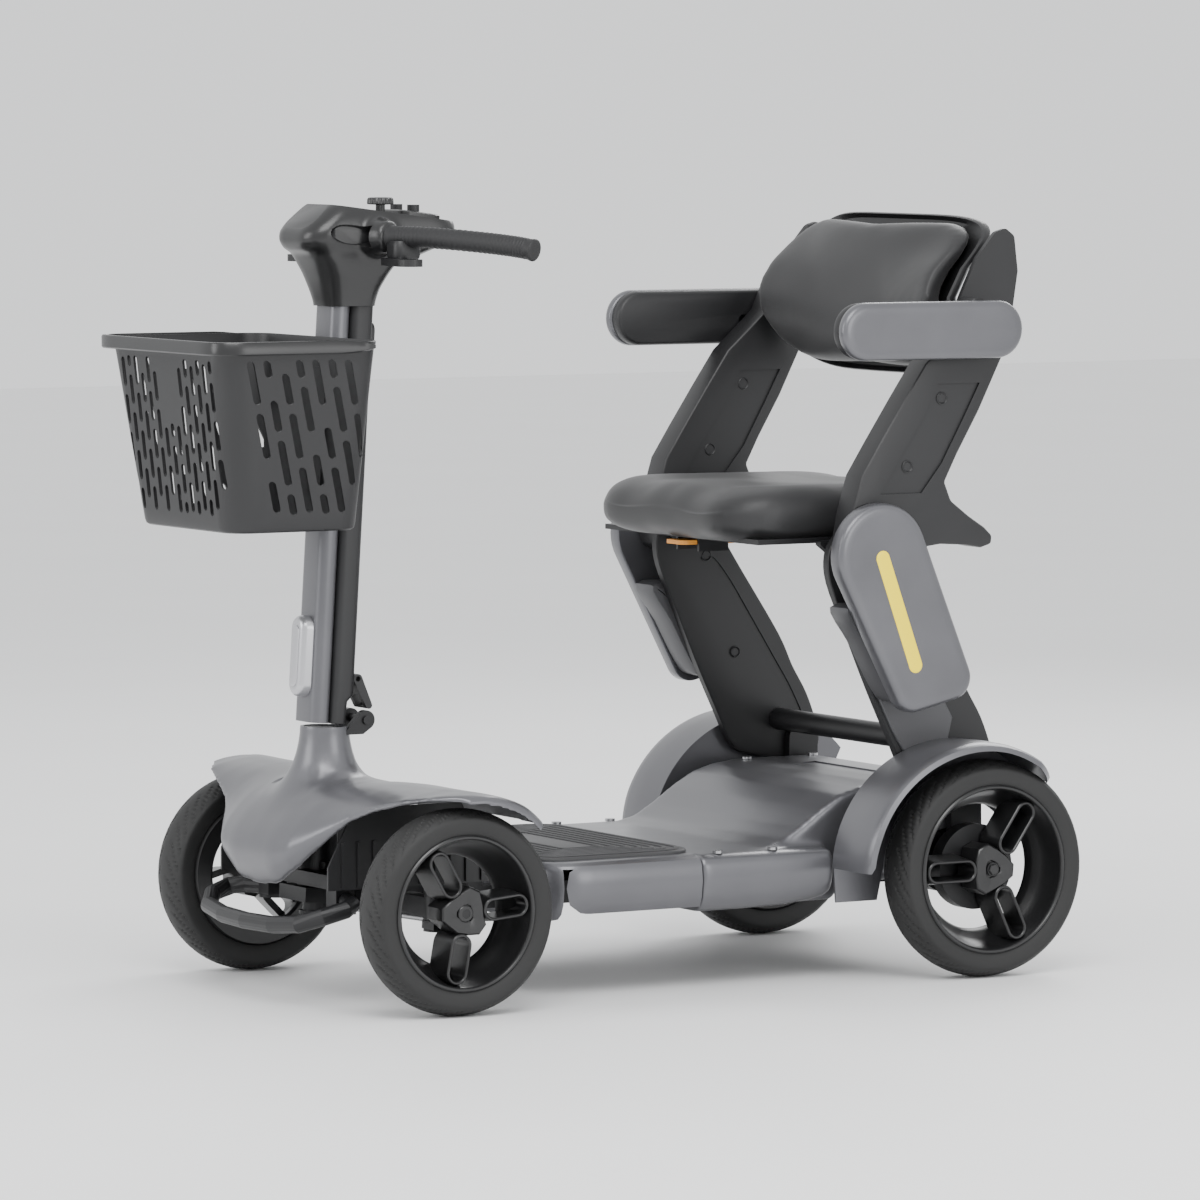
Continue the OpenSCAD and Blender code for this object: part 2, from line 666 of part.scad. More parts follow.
// Carrying handle that lies round the rim
module basket_bail() color([0.07, 0.07, 0.07]) leaned(mast_x, mast_z) {
    half = basket_w / 2 + gap;
    band = 5;
    pivot_x = basket_x + 30;
    front = basket_x + basket_d + gap;
    pivot_z = basket_z + basket_h - 12;
    translate([0, 0, pivot_z - 7]) linear_extrude(14) intersection() {
        difference() {
            translate([front - 150 + band, 0]) round_rect(300, 2 * (half + band), 39);
            translate([front - 150, 0]) round_rect(300, 2 * half, 34);
        }
        translate([pivot_x, -300]) square([400, 600]);
    }
    for (s = [-1, 1]) side(s) {
        translate([pivot_x, half, pivot_z]) rotate([-90, 0, 0]) cylinder(h = band, r = 10, $fn = 48);
        translate([pivot_x, half - 5, pivot_z]) rotate([-90, 0, 0])
            cylinder(h = 6, r = 4 - fit, $fn = 32);
    }
}

// ---------- handlebar ----------

bar_x = -14;
bar_z = 866;
bar_r = 11;
head_half_w = 50;
grip_root = [bar_x, 60, bar_z];
grip_tip = [-106, 243, 854];

module head_housing() color([0.08, 0.08, 0.08]) difference() {
    union() {
        hull() for (y = [-head_half_w + 14, head_half_w - 14]) {
            for (p = [[62, 862], [34, 888], [-108, 872], [-100, 862], [40, 846]])
                translate([p[0], y, p[1]]) sphere(r = 14, $fn = 20);
        }
        hull() {
            leaned(mast_x, mast_z) translate([0, 0, mast_len + 0.5]) linear_extrude(1)
                round_rect(mast_d, mast_w, 12);
            translate([8, 0, 850]) linear_extrude(1) round_rect(90, 80, 20);
        }
        // Ledges that carry the levers
        for (s = [-1, 1]) side(s) translate([bar_x - 12, 40, 843]) cube([24, 36, 6]);
    }
    translate([bar_x, -100, bar_z]) rotate([-90, 0, 0]) cylinder(h = 200, r = bar_r, $fn = 48);
    // Sockets for the knob and the two buttons
    translate([-26, 26, 880]) cylinder(h = 40, r = 5 + fit, $fn = 48);
    for (s = [-1, 1]) translate([-72, s * 20, 876]) cylinder(h = 40, r = 7.3, $fn = 48);
}

module handlebar_tube() color([0.1, 0.1, 0.1]) {
    tip = grip_tip;
    root = grip_root;
    left = [tip[0], -tip[1], tip[2]];
    left_root = [root[0], -root[1], root[2]];
    bend = [bar_x, root[1] - 7, bar_z];
    bend_right = [bar_x, 7 - root[1], bar_z];
    bent_bar([tip, root + 0.08 * (tip - root), bend, bend_right,
        left_root + 0.08 * (left - left_root), left], bar_r - 0.05, 32);
    for (s = [-1, 1]) side(s) translate([bar_x, 68, 836]) cylinder(h = 7, r = 4, $fn = 32);
}

module grips() color([0.04, 0.04, 0.04]) {
    v = (grip_tip - grip_root) / norm(grip_tip - grip_root);
    for (s = [-1, 1]) side(s) difference() {
        bar(grip_root + 26 * v, grip_tip + 4 * v, 14.5);
        bar(grip_root, grip_tip, bar_r);
    }
}

// Finger lever under a grip, turning on an upright pin
module throttle_lever() {
    translate([0, 0, 834]) difference() {
        linear_extrude(8) difference() {
            hull() {
                translate([bar_x, 68]) circle(r = 9, $fn = facets);
                translate([bar_x + 8, 132]) circle(r = 14, $fn = facets);
            }
            hull() {
                translate([bar_x + 3, 92]) circle(r = 4, $fn = facets);
                translate([bar_x + 8, 130]) circle(r = 8, $fn = facets);
            }
        }
        translate([bar_x, 68, -5]) cylinder(h = 20, r = 4 + fit, $fn = 32);
    }
}

module throttle_lever_left() color([0.06, 0.06, 0.06]) throttle_lever();
module throttle_lever_right() color([0.06, 0.06, 0.06]) side(-1) throttle_lever();

module speed_knob() color([0.04, 0.04, 0.04]) {
    translate([-26, 26, 884]) cylinder(h = 19, r = 5, $fn = 48);
    translate([-26, 26, 902]) cylinder(h = 8, r = 15, $fn = 64);
}

module horn_button() color([0.6, 0.1, 0.1]) translate([-72, 20, 880]) cylinder(h = 21, r = 7, $fn = 48);
module power_button() color([0.1, 0.5, 0.2]) translate([-72, -20, 880]) cylinder(h = 21, r = 7, $fn = 48);

// ---------- seat legs ----------

// Cross tube, low down between the plates
cross_x = foot_x + 28;
cross_z = foot_z + 24;

// Two plates joined by a cross tube, turning on the chassis brackets
module leg_frame() color([0.08, 0.08, 0.08]) {
    for (s = [-1, 1]) side(s) difference() {
        slab(leg_in, leg_in + leg_t) hull() {
            translate([foot_x, foot_z]) circle(r = 26, $fn = facets);
            translate([foot_x + 88, foot_z + 6]) circle(r = 12, $fn = facets);
            translate([top_x + 4, top_z - 12]) circle(r = 34, $fn = facets);
            translate([top_x - 22, top_z - 8]) circle(r = 24, $fn = facets);
        }
        translate([foot_x, 0, foot_z]) rotate([-90, 0, 0]) cylinder(h = 400, r = pivot_r + fit, $fn = 48);
        translate([top_x, 0, top_z]) rotate([-90, 0, 0]) cylinder(h = 400, r = pivot_r + fit, $fn = 48);
    }
    slab(-leg_in - 0.1, leg_in + 0.1) translate([cross_x, cross_z]) circle(r = 13, $fn = 48);
    // Spacers that carry the outer covers below the backrest arms
    for (s = [-1, 1]) side(s) slab(leg_in + leg_t - 0.1, outer_in) hull() {
        translate([top_x - 42, top_z - 96]) circle(r = 18, $fn = facets);
        translate([top_x - 62, top_z - 128]) circle(r = 18, $fn = facets);
    }
}

// Outer leg cover: a round head over the pivot, narrowing downwards
module leg_cover() {
    difference() {
        slab(outer_in, outer_in + outer_t) hull() {
            translate([top_x, top_z]) circle(r = 60, $fn = 48);
            translate([top_x - 44, top_z - 157]) circle(r = 26, $fn = 48);
            translate([top_x - 96, top_z - 145]) circle(r = 26, $fn = 48);
        }
        translate([top_x, 0, top_z]) rotate([-90, 0, 0])
            cylinder(h = outer_in + outer_t - 6, r = pivot_r + fit, $fn = 48);
        light_form(0, 3);
    }
}

// Strip light let into the cover's face
module light_form(g, d) {
    slab(outer_in + outer_t - d, outer_in + outer_t + 1) hull() {
        translate([top_x + 2, top_z - 3]) circle(r = 8 - g, $fn = 24);
        translate([top_x - 43, top_z - 128]) circle(r = 8 - g, $fn = 24);
    }
}

module leg_cover_left() color([0.42, 0.42, 0.43]) leg_cover();
module leg_cover_right() color([0.42, 0.42, 0.43]) side(-1) leg_cover();
module leg_lights() color([1, 1, 0.2]) for (s = [-1, 1]) side(s) light_form(0.2, 3);

// ---------- seat ----------

seat_front = top_x + 156;
seat_low = top_z + 17;

// Steel pan with two side brackets and their pivot pins
module seat_pan() color([0.08, 0.08, 0.08]) {
    translate([seat_front - seat_len + 30, -seat_half_w + 10, seat_low - 6])
        cube([seat_len - 70, 2 * seat_half_w - 20, 6]);
    for (s = [-1, 1]) side(s) {
        slab(leg_in - 14, leg_in - 3) hull() {
            translate([top_x, top_z]) circle(r = 16, $fn = facets);
            translate([top_x - 22, seat_low - 8]) square([60, 4]);
        }
        translate([top_x, leg_in - 10, top_z]) rotate([-90, 0, 0])
            cylinder(h = outer_in + outer_t - 8 - leg_in + 10, r = pivot_r, $fn = 48);
    }
    // Fork that guides the release tab
    for (y = [-26, 22]) translate([seat_front - 90, y, seat_low - 22]) cube([40, 4, 18]);
}

module seat_cushion() color([0.07, 0.07, 0.07]) {
    r = 22;
    translate([0, 0, seat_low]) hull() {
        translate([seat_front - seat_len / 2, 0, 0]) linear_extrude(1)
            round_rect(seat_len - 30, 2 * seat_half_w - 30, 60);
        translate([seat_front - seat_len / 2, 0, r]) linear_extrude(1)
            round_rect(seat_len, 2 * seat_half_w, 75);
        translate([seat_front - seat_len / 2, 0, seat_t - 12]) linear_extrude(1)
            round_rect(seat_len - 6, 2 * seat_half_w - 6, 72);
        translate([seat_front - seat_len / 2, 0, seat_t - 1]) linear_extrude(1)
            round_rect(seat_len - 36, 2 * seat_half_w - 36, 60);
    }
}

// Pull tab under the front of the seat
module release_tab() color([0.9, 0.35, 0.05]) translate([seat_front - 88, 0, seat_low - 14])
    linear_extrude(5) translate([20, 0]) round_rect(76, 43, 10);

// ---------- backrest ----------

// Side arm that turns on the seat's pivot pin and carries the backrest
module back_arm() {
    difference() {
        slab(arm_in, arm_in + arm_t) union() {
            hull() {
                translate([top_x, top_z]) circle(r = 30, $fn = facets);
                translate([top_x - 36, top_z + 82]) circle(r = 44, $fn = facets);
            }
            hull() {
                translate([top_x - 36, top_z + 82]) circle(r = 44, $fn = facets);
                translate([top_x - 120, top_z + 232]) circle(r = 32, $fn = facets);
            }
        }
        translate([top_x, 0, top_z]) rotate([-90, 0, 0]) cylinder(h = 400, r = pivot_r + fit, $fn = 48);
    }
    // Pin of the armrest
    translate([arm_pin_x, arm_in + arm_t - 2, arm_pin_z]) rotate([-90, 0, 0])
        cylinder(h = 20, r = 7, $fn = 48);
}

arm_pin_x = top_x - 118;
arm_pin_z = top_z + 250;
module back_arm_left() color([0.08, 0.08, 0.08]) back_arm();
module back_arm_right() color([0.08, 0.08, 0.08]) side(-1) back_arm();

module armrest() {
    rest_z = top_z + 258;
    difference() {
        slab(arm_in + arm_t + gap, arm_in + arm_t + gap + 32) translate([top_x - 62, rest_z])
            round_rect(246, 66, 32.9);
        translate([arm_pin_x, 0, arm_pin_z]) rotate([-90, 0, 0])
            cylinder(h = arm_in + arm_t + 19, r = 7 + fit, $fn = 48);
    }
}

module armrest_left() color([0.35, 0.35, 0.36]) armrest();
module armrest_right() color([0.35, 0.35, 0.36]) side(-1) armrest();

// Curved sheet: an arc seen from above, leaned with the backrest
module back_arc(t0, t1, z0, z1) {
    curve_r = 560;
    x0 = top_x - 128;
    translate([x0, 0, top_z + 195]) rotate([0, -14, 0]) translate([curve_r, 0, z0])
        linear_extrude(z1 - z0) intersection() {
            difference() {
                circle(r = curve_r + t1, $fn = 180);
                circle(r = curve_r + t0, $fn = 180);
            }
            translate([-curve_r - 120, -back_half_w]) square([300, 2 * back_half_w]);
        }
}

module backrest_cushion() color([0.07, 0.07, 0.07]) back_arc(-32, 0, 0, back_h);

module backrest_shell() color([0.08, 0.08, 0.08]) {
    back_arc(0.1, 12, 6, back_h - 20);
    for (s = [-1, 1]) side(s) translate([top_x - 126, back_half_w - 40, top_z + 226])
        rotate([-90, 0, 0]) cylinder(h = arm_in - back_half_w + 40, r = 10, $fn = 48);
}

// ---------- placing ----------

module placed() {
    translate([origin_shift, 0, 0]) children();
}

placed() main_frame();
placed() front_axle_beam();
placed() steering_tower();
placed() front_cowl();
placed() wheel_arch_liners();
placed() front_bumper();
placed() deck_front();
placed() deck_rear();
placed() deck_mat();
placed() rear_body_cover();
placed() rear_fender_left();
placed() rear_fender_right();
placed() battery_pack();
placed() motor_controller();
placed() gear_motors();
placed() leg_brackets();
placed() chassis_bolts();
placed() charge_cap();
placed() steering_stem();
placed() tie_rod();
placed() knuckle_left();
placed() knuckle_right();
placed() mast_tube();
placed() mast_rear_cover();
placed() headlight();
placed() basket();
placed() basket_bracket();
placed() head_housing();
placed() handlebar_tube();
placed() grips();
placed() basket_bail();
placed() throttle_lever_left();
placed() throttle_lever_right();
placed() speed_knob();
placed() horn_button();
placed() power_button();
placed() fold_latch();
placed() stem_latch();
placed() front_tyre_left();
placed() front_tyre_right();
placed() front_rim_left();
placed() front_rim_right();
placed() rear_tyre_left();
placed() rear_tyre_right();
placed() rear_rim_left();
placed() rear_rim_right();
placed() leg_frame();
placed() leg_cover_left();
placed() leg_cover_right();
placed() leg_lights();
placed() seat_pan();
placed() seat_cushion();
placed() release_tab();
placed() back_arm_left();
placed() back_arm_right();
placed() backrest_shell();
placed() backrest_cushion();
placed() armrest_left();
placed() armrest_right();
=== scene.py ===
import json
import math

import bmesh
import bpy
import numpy as np
from mathutils import Matrix, Vector


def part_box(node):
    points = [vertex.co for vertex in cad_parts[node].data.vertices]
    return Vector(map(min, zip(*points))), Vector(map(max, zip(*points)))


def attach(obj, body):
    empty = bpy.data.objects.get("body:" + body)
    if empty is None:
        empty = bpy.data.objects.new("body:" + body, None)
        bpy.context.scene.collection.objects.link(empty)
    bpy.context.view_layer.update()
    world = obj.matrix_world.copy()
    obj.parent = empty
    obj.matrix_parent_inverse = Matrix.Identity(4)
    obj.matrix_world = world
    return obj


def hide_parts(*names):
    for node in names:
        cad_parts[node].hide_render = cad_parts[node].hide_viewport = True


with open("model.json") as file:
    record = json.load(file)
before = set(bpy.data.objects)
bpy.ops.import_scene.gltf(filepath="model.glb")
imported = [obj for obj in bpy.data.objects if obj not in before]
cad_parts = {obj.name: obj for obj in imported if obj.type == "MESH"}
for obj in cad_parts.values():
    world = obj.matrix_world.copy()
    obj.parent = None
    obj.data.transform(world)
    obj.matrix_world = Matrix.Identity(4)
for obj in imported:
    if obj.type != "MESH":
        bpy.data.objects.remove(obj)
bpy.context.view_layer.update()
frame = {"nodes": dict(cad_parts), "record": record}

# ---------- places taken from the frame ----------


def middle(node):
    """Middle of a CAD node's box, in metres."""
    low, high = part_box(node)
    return (Vector(low) + Vector(high)) / 2


MM = 0.001
UP = Vector((0, 0, 1))
FRONT_HUB = middle("front_tyre_left")
REAR_HUB = middle("rear_tyre_left")
FRONT_X = FRONT_HUB.x
FRONT_R = FRONT_HUB.z / MM
REAR_R = REAR_HUB.z / MM
REAR = (REAR_HUB.x - FRONT_X) / MM
HALF_TRACK = FRONT_HUB.y / MM
# Mast: backward lean, and the middle of its foot
LEAN = math.radians(3.5)
MAST_X, MAST_Z = 36, 311
# Seat legs: upper pivot
TOP_X, TOP_Z = REAR + 147, 497
# Deck: upper face, half width, and the seam between its front and rear halves
DECK_Z, DECK_HALF, SEAM = 156, 203, REAR + 354


def at(x, y, z):
    """Millimetres from the front axle's middle on the ground to metres in the frame."""
    return Vector((x * MM + FRONT_X, y * MM, z * MM))


def across(outline, y):
    """Outline in x and z, in mm, placed at a distance across the scooter."""
    return [at(x, y, z) for x, z in outline]


def level(outline, z):
    """Outline in x and y, in mm, placed at a height."""
    return [at(x, y, z) for x, y in outline]


def turns(steps):
    """Angles evenly spaced round a full turn."""
    return [2 * math.pi * k / steps for k in range(steps)]


def circle(x, z, r, steps):
    """Points of a circle in x and z."""
    return [(x + r * math.cos(t), z + r * math.sin(t)) for t in turns(steps)]


# ---------- mesh helpers ----------


def from_bmesh(name, bm):
    """New object that holds a finished bmesh."""
    mesh = bpy.data.meshes.new(name)
    bm.to_mesh(mesh)
    bm.free()
    obj = bpy.data.objects.new(name, mesh)
    bpy.context.collection.objects.link(obj)
    return obj


def piece(name, verts, faces):
    """New object from points and faces, with its normals facing outwards."""
    mesh = bpy.data.meshes.new("draft")
    mesh.from_pydata([tuple(v) for v in verts], [], faces)
    bm = bmesh.new()
    bm.from_mesh(mesh)
    bmesh.ops.remove_doubles(bm, verts=bm.verts, dist=1e-6)
    bmesh.ops.recalc_face_normals(bm, faces=bm.faces)
    bpy.data.meshes.remove(mesh)
    return from_bmesh(name, bm)


def loft(name, rings, closed=False, caps=True):
    """Joins rings of equal length into a skin, with end caps unless the loft closes on itself."""
    count = len(rings[0])
    verts = [v for ring in rings for v in ring]
    spans = len(rings) if closed else len(rings) - 1
    faces = []
    for i in range(spans):
        a, b = i * count, ((i + 1) % len(rings)) * count
        faces += [(a + k, a + (k + 1) % count, b + (k + 1) % count, b + k) for k in range(count)]
    if caps and not closed:
        faces.append(tuple(range(count)))
        faces.append(tuple(range((len(rings) - 1) * count, len(rings) * count)))
    return piece(name, verts, faces)


def prism(name, outline, y0, y1):
    """Outline in x and z, in mm, swept across from y0 to y1."""
    return loft(name, [across(outline, y) for y in (y0, y1)])


def prism_z(name, outline, z0, z1):
    """Outline in x and y, in mm, swept up from z0 to z1."""
    return loft(name, [level(outline, z) for z in (z0, z1)])


def round_rect(cx, cy, w, h, r, steps=8, inset=0.0):
    """Points of a rounded rectangle, moved inwards by the inset."""
    w, h, r = w - 2 * inset, h - 2 * inset, r - inset
    points = []
    for sx, sy, start in ((1, 1, 0), (-1, 1, 90), (-1, -1, 180), (1, -1, 270)):
        for k in range(steps + 1):
            a = math.radians(start + 90 * k / steps)
            points.append((cx + sx * (w / 2 - r) + r * math.cos(a),
                           cy + sy * (h / 2 - r) + r * math.sin(a)))
    return points


def level_loft(name, sections):
    """Horizontal rounded rectangles: (z, x0, x1, half width, corner radius)."""
    return loft(name, [level(round_rect((x0 + x1) / 2, 0, x1 - x0, 2 * half, r), z)
                       for z, x0, x1, half, r in sections])


def ball(name, centre, radii, segments):
    """Ellipsoid for cutting dimples."""
    bm = bmesh.new()
    bmesh.ops.create_uvsphere(bm, u_segments=segments, v_segments=segments // 2, radius=1)
    for v in bm.verts:
        v.co = at(*centre) + Vector([c * r * MM for c, r in zip(v.co, radii)])
    return from_bmesh(name, bm)


def smooth_path(points, steps=6, closed=False):
    """Catmull-Rom curve through the points."""
    pts = [Vector(p) for p in points]
    n = len(pts)
    out = []
    for i in range(n if closed else n - 1):
        p = [pts[(i + k) % n if closed else min(max(i + k, 0), n - 1)] for k in (-1, 0, 1, 2)]
        for s in range(steps):
            t = s / steps
            out.append(0.5 * (2 * p[1] + (p[2] - p[0]) * t
                              + (2 * p[0] - 5 * p[1] + 4 * p[2] - p[3]) * t ** 2
                              + (3 * p[1] - p[0] - 3 * p[2] + p[3]) * t ** 3))
    if not closed:
        out.append(pts[-1])
    return out


def tube(name, path, radius, sides, closed=False, flat=1.0):
    """Sweeps a round or flattened section along a path in metres; radius is in mm or a function."""
    rings = []
    n = len(path)
    for i, p in enumerate(path):
        before = path[(i - 1) % n] if closed else path[max(i - 1, 0)]
        after = path[(i + 1) % n] if closed else path[min(i + 1, n - 1)]
        along = (after - before).normalized()
        side = along.cross(UP).normalized()
        lift = side.cross(along).normalized()
        r = (radius(i / max(n - 1, 1)) if callable(radius) else radius) * MM
        rings.append([p + r * (math.cos(t) * side + flat * math.sin(t) * lift) for t in turns(sides)])
    return loft(name, rings, closed=closed)


def modify(obj, kind, **settings):
    """Runs one modifier on a mesh and keeps its result."""
    mod = obj.modifiers.new(kind, kind)
    for key, value in settings.items():
        setattr(mod, key, value)
    deps = bpy.context.evaluated_depsgraph_get()
    mesh = bpy.data.meshes.new_from_object(obj.evaluated_get(deps))
    obj.modifiers.clear()
    obj.data = mesh


def join(name, objs):
    """Merges meshes into the first object, without a boolean."""
    bm = bmesh.new()
    for o in objs:
        bm.from_mesh(o.data)
    out = from_bmesh(name, bm)
    for o in objs:
        bpy.data.objects.remove(o)
    return out


def melt(obj, voxel, rounds):
    """Voxel remesh at a size in mm, then smoothing."""
    modify(obj, "REMESH", mode="VOXEL", voxel_size=voxel * MM)
    modify(obj, "SMOOTH", factor=0.5, iterations=rounds)


def fuse(name, objs, voxel, rounds):
    """Melts closed shapes into one smooth skin."""
    out = join(name, objs)
    melt(out, voxel, rounds)
    return out


def cut(obj, *cutters):
    """Takes each cutter away from a solid."""
    for c in cutters:
        modify(obj, "BOOLEAN", operation="DIFFERENCE", solver="EXACT", object=c)
    for c in cutters:
        bpy.data.objects.remove(c)


def soft_shade(obj, angle):
    """Smooth shading with sharp edges where faces meet at more than the angle."""
    bm = bmesh.new()
    bm.from_mesh(obj.data)
    limit = math.radians(angle)
    for f in bm.faces:
        f.smooth = True
    for e in bm.edges:
        if len(e.link_faces) == 2:
            e.smooth = e.calc_face_angle(0) < limit
    bm.to_mesh(obj.data)
    bm.free()


def mirrored(obj, name):
    """A copy on the other side of the scooter."""
    twin = obj.copy()
    twin.data = obj.data.copy()
    twin.name = name
    bpy.context.collection.objects.link(twin)
    twin.data.transform(Matrix.Scale(-1, 4, Vector((0, 1, 0))))
    twin.data.flip_normals()
    return twin


def finish_piece(obj, body, material, replaces, angle=40):
    """Shades a piece, gives it its material, ties it to its body and hides the CAD nodes it stands for."""
    soft_shade(obj, angle)
    obj.data.materials.clear()
    obj.data.materials.append(material)
    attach(obj, body)
    if replaces:
        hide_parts(*replaces)


def finish_pair(left, body, material, replaces, angle=40):
    """Finishes a left-hand piece and its mirror image, whose names say right instead."""
    right = mirrored(left, left.name.split(".")[0].replace("left", "right"))
    for obj, hand in ((left, "left"), (right, "right")):
        finish_piece(obj, body.replace("left", hand), material,
                     [node.replace("left", hand) for node in replaces], angle)


# ---------- materials ----------


# Spread of the roughness round its middle value
ROUGH_SPREAD = 0.08


def surface(name, colour, rough=0.5, metallic=0.0, spread=0.12, grain=900.0, bump=0.15, bump_depth=0.0002,
            mottling=9.0, coat=0.0, sheen=0.0, weave=False):
    """Procedural finish: mottled colour, uneven roughness and a fine grain in the bump."""
    mat = bpy.data.materials.new(name)
    mat.use_nodes = True
    tree = mat.node_tree

    def add(kind, wires, **values):
        """A node with some inputs wired to other nodes' outputs and some set."""
        new = tree.nodes.new("ShaderNode" + kind)
        for key, source in wires.items():
            tree.links.new(source, new.inputs[key])
        for key, value in values.items():
            new.inputs[key.replace("_", " ")].default_value = value
        return new

    place = {"Vector": add("TexCoord", {}).outputs["Object"]}
    broad = add("TexNoise", place, Scale=mottling, Detail=6).outputs["Fac"]
    shade = add("ValToRGB", {"Fac": broad})
    for stop, where, k in zip(shade.color_ramp.elements, (0.3, 0.72), (1 - spread, 1 + spread)):
        stop.position = where
        stop.color = (*[min(1, c * k) for c in colour], 1)
    spot = add("MapRange", {"Value": broad}, To_Min=max(0.02, rough - ROUGH_SPREAD),
               To_Max=min(1.0, rough + ROUGH_SPREAD))
    if weave:
        cells = add("TexVoronoi", place, Scale=grain)
        cells.feature = "DISTANCE_TO_EDGE"
        height = cells.outputs["Distance"]
    else:
        height = add("TexNoise", place, Scale=grain, Detail=4).outputs["Fac"]
    bumper = add("Bump", {"Height": height}, Strength=bump, Distance=bump_depth)
    shader = tree.nodes["Principled BSDF"]
    for key, source in (("Base Color", shade.outputs["Color"]), ("Roughness", spot.outputs["Result"]),
                        ("Normal", bumper.outputs["Normal"])):
        tree.links.new(source, shader.inputs[key])
    for key, value in (("Metallic", metallic), ("Coat Weight", coat), ("Coat Roughness", 0.25),
                       ("Sheen Weight", sheen)):
        shader.inputs[key].default_value = value
    return mat


GREY = surface("satin_grey", (0.125, 0.125, 0.135), rough=0.34, metallic=0.55, spread=0.06, grain=1500,
               bump=0.06, coat=0.25, mottling=14)
# The satin grey darkened as painted shade, for the leg shells that sit back behind the grey covers
GREY_PAINTED_SHADE = surface("satin_grey_painted_shade", (0.085, 0.085, 0.09), rough=0.42, metallic=0.4, spread=0.08,
                    grain=1400, bump=0.08)
BLACK = surface("moulded_black", (0.011, 0.011, 0.012), rough=0.46, spread=0.15, grain=1300, bump=0.25)
BLACK_SATIN = surface("satin_black", (0.009, 0.009, 0.0095), rough=0.33, spread=0.12, grain=1200, bump=0.1,
                      coat=0.15)
STEEL_BLACK = surface("powder_coat", (0.01, 0.01, 0.011), rough=0.4, metallic=0.2, spread=0.15, grain=800,
                      bump=0.3)
RUBBER = surface("tyre_rubber", (0.01, 0.01, 0.01), rough=0.62, spread=0.25, grain=700, bump=0.35,
                 mottling=20)
GRIP = surface("grip_rubber", (0.01, 0.01, 0.011), rough=0.6, spread=0.15, grain=520, bump=0.5,
               weave=True)
MAT = surface("mat_rubber", (0.035, 0.035, 0.037), rough=0.55, spread=0.2, grain=600, bump=0.3)
VINYL = surface("seat_vinyl", (0.012, 0.012, 0.013), rough=0.5, spread=0.12, grain=420, bump=0.35,
                bump_depth=0.00025, weave=True, sheen=0.1)
SILVER = surface("satin_silver", (0.5, 0.5, 0.52), rough=0.3, metallic=0.7, spread=0.05, grain=1600,
                 bump=0.05, coat=0.3)
STEEL = surface("bright_steel", (0.42, 0.42, 0.43), rough=0.28, metallic=1.0, spread=0.1, grain=900,
                bump=0.1)
YELLOW = surface("light_lens", (0.85, 0.66, 0.0), rough=0.3, spread=0.04, grain=600, bump=0.05)
ORANGE = surface("tab_orange", (0.75, 0.3, 0.04), rough=0.4, spread=0.08, grain=700, bump=0.1)
GLOW = YELLOW.node_tree.nodes["Principled BSDF"].inputs
GLOW["Emission Color"].default_value = (1, 0.78, 0.0, 1)
GLOW["Emission Strength"].default_value = 0.35

SLOT_LOOK = {"grey_cover": GREY, "mast_grey": GREY, "black_plastic": BLACK, "black_steel": STEEL_BLACK,
             "bare_metal": STEEL, "mat_rubber": MAT, "grip_rubber": GRIP, "tyre_rubber": RUBBER,
             "rim_black": BLACK_SATIN, "lamp_silver": SILVER, "horn_red": BLACK, "power_green": BLACK,
             "light_yellow": YELLOW, "cushion_black": VINYL, "tab_orange": ORANGE}
for part in frame["record"]["subparts"]:
    look = SLOT_LOOK[part["material_slot"]]
    slots = frame["nodes"][part["node"]].data.materials
    if not slots:
        slots.append(look)
    for index in range(len(slots)):
        slots[index] = look
# ---------- front cowl ----------

# Profiles of the front cover from its rear edge to its lower front edge, in x and z, at distances
# from the middle
COWL_AT = [0, 45, 80, 105, 127, 150, 190, 230, 262, 279, 285]
COWL_X = [
    [-97, -60, -10, 40, 78, 108, 128, 131, 119],
    [-97, -60, -10, 40, 78, 108, 128, 131, 119],
    [-97, -60, -10, 38, 75, 104, 123, 126, 116],
    [-97, -60, -8, 34, 68, 94, 109, 111, 105],
    [-97, -60, -6, 32, 62, 82, 94, 96, 93],
    [-97, -60, -6, 30, 56, 73, 83, 85, 83],
    [-97, -60, -6, 26, 48, 63, 72, 74, 73],
    [-97, -62, -10, 18, 38, 51, 60, 62, 62],
    [-97, -66, -24, -2, 16, 28, 37, 40, 41],
    [-96, -75, -48, -30, -16, -6, 2, 8, 11],
    [-92, -74, -50, -33, -18, -8, 0, 5, 7],
]
COWL_Z = [
    [214, 234, 246, 247, 236, 214, 188, 160, 130],
    [214, 234, 246, 246, 235, 213, 187, 160, 134],
    [215, 236, 248, 246, 234, 212, 188, 170, 152],
    [216, 238, 250, 247, 235, 215, 197, 186, 174],
    [216, 240, 251, 248, 237, 223, 209, 202, 194],
    [217, 240, 252, 249, 241, 230, 220, 216, 211],
    [217, 240, 252, 250, 245, 238, 232, 230, 227],
    [217, 239, 252, 251, 248, 245, 242, 241, 239],
    [216, 238, 250, 251, 250, 249, 248, 247, 245],
    [213, 232, 244, 248, 250, 250, 249, 247, 245],
    [208, 224, 236, 241, 243.5, 244, 243.5, 242.5, 241],
]
# Flare at the foot of the steering tower: height against the distance from the tower's middle
TOWER_X = 34
TOWER_R = [28, 28.1, 30, 35, 44, 57, 74, 88]
TOWER_Z = [330, 308, 290, 270, 250, 230, 205, 60]
FLARE_TOP = 264
COWL_WALL = 6.4
COWL_HALF = 285


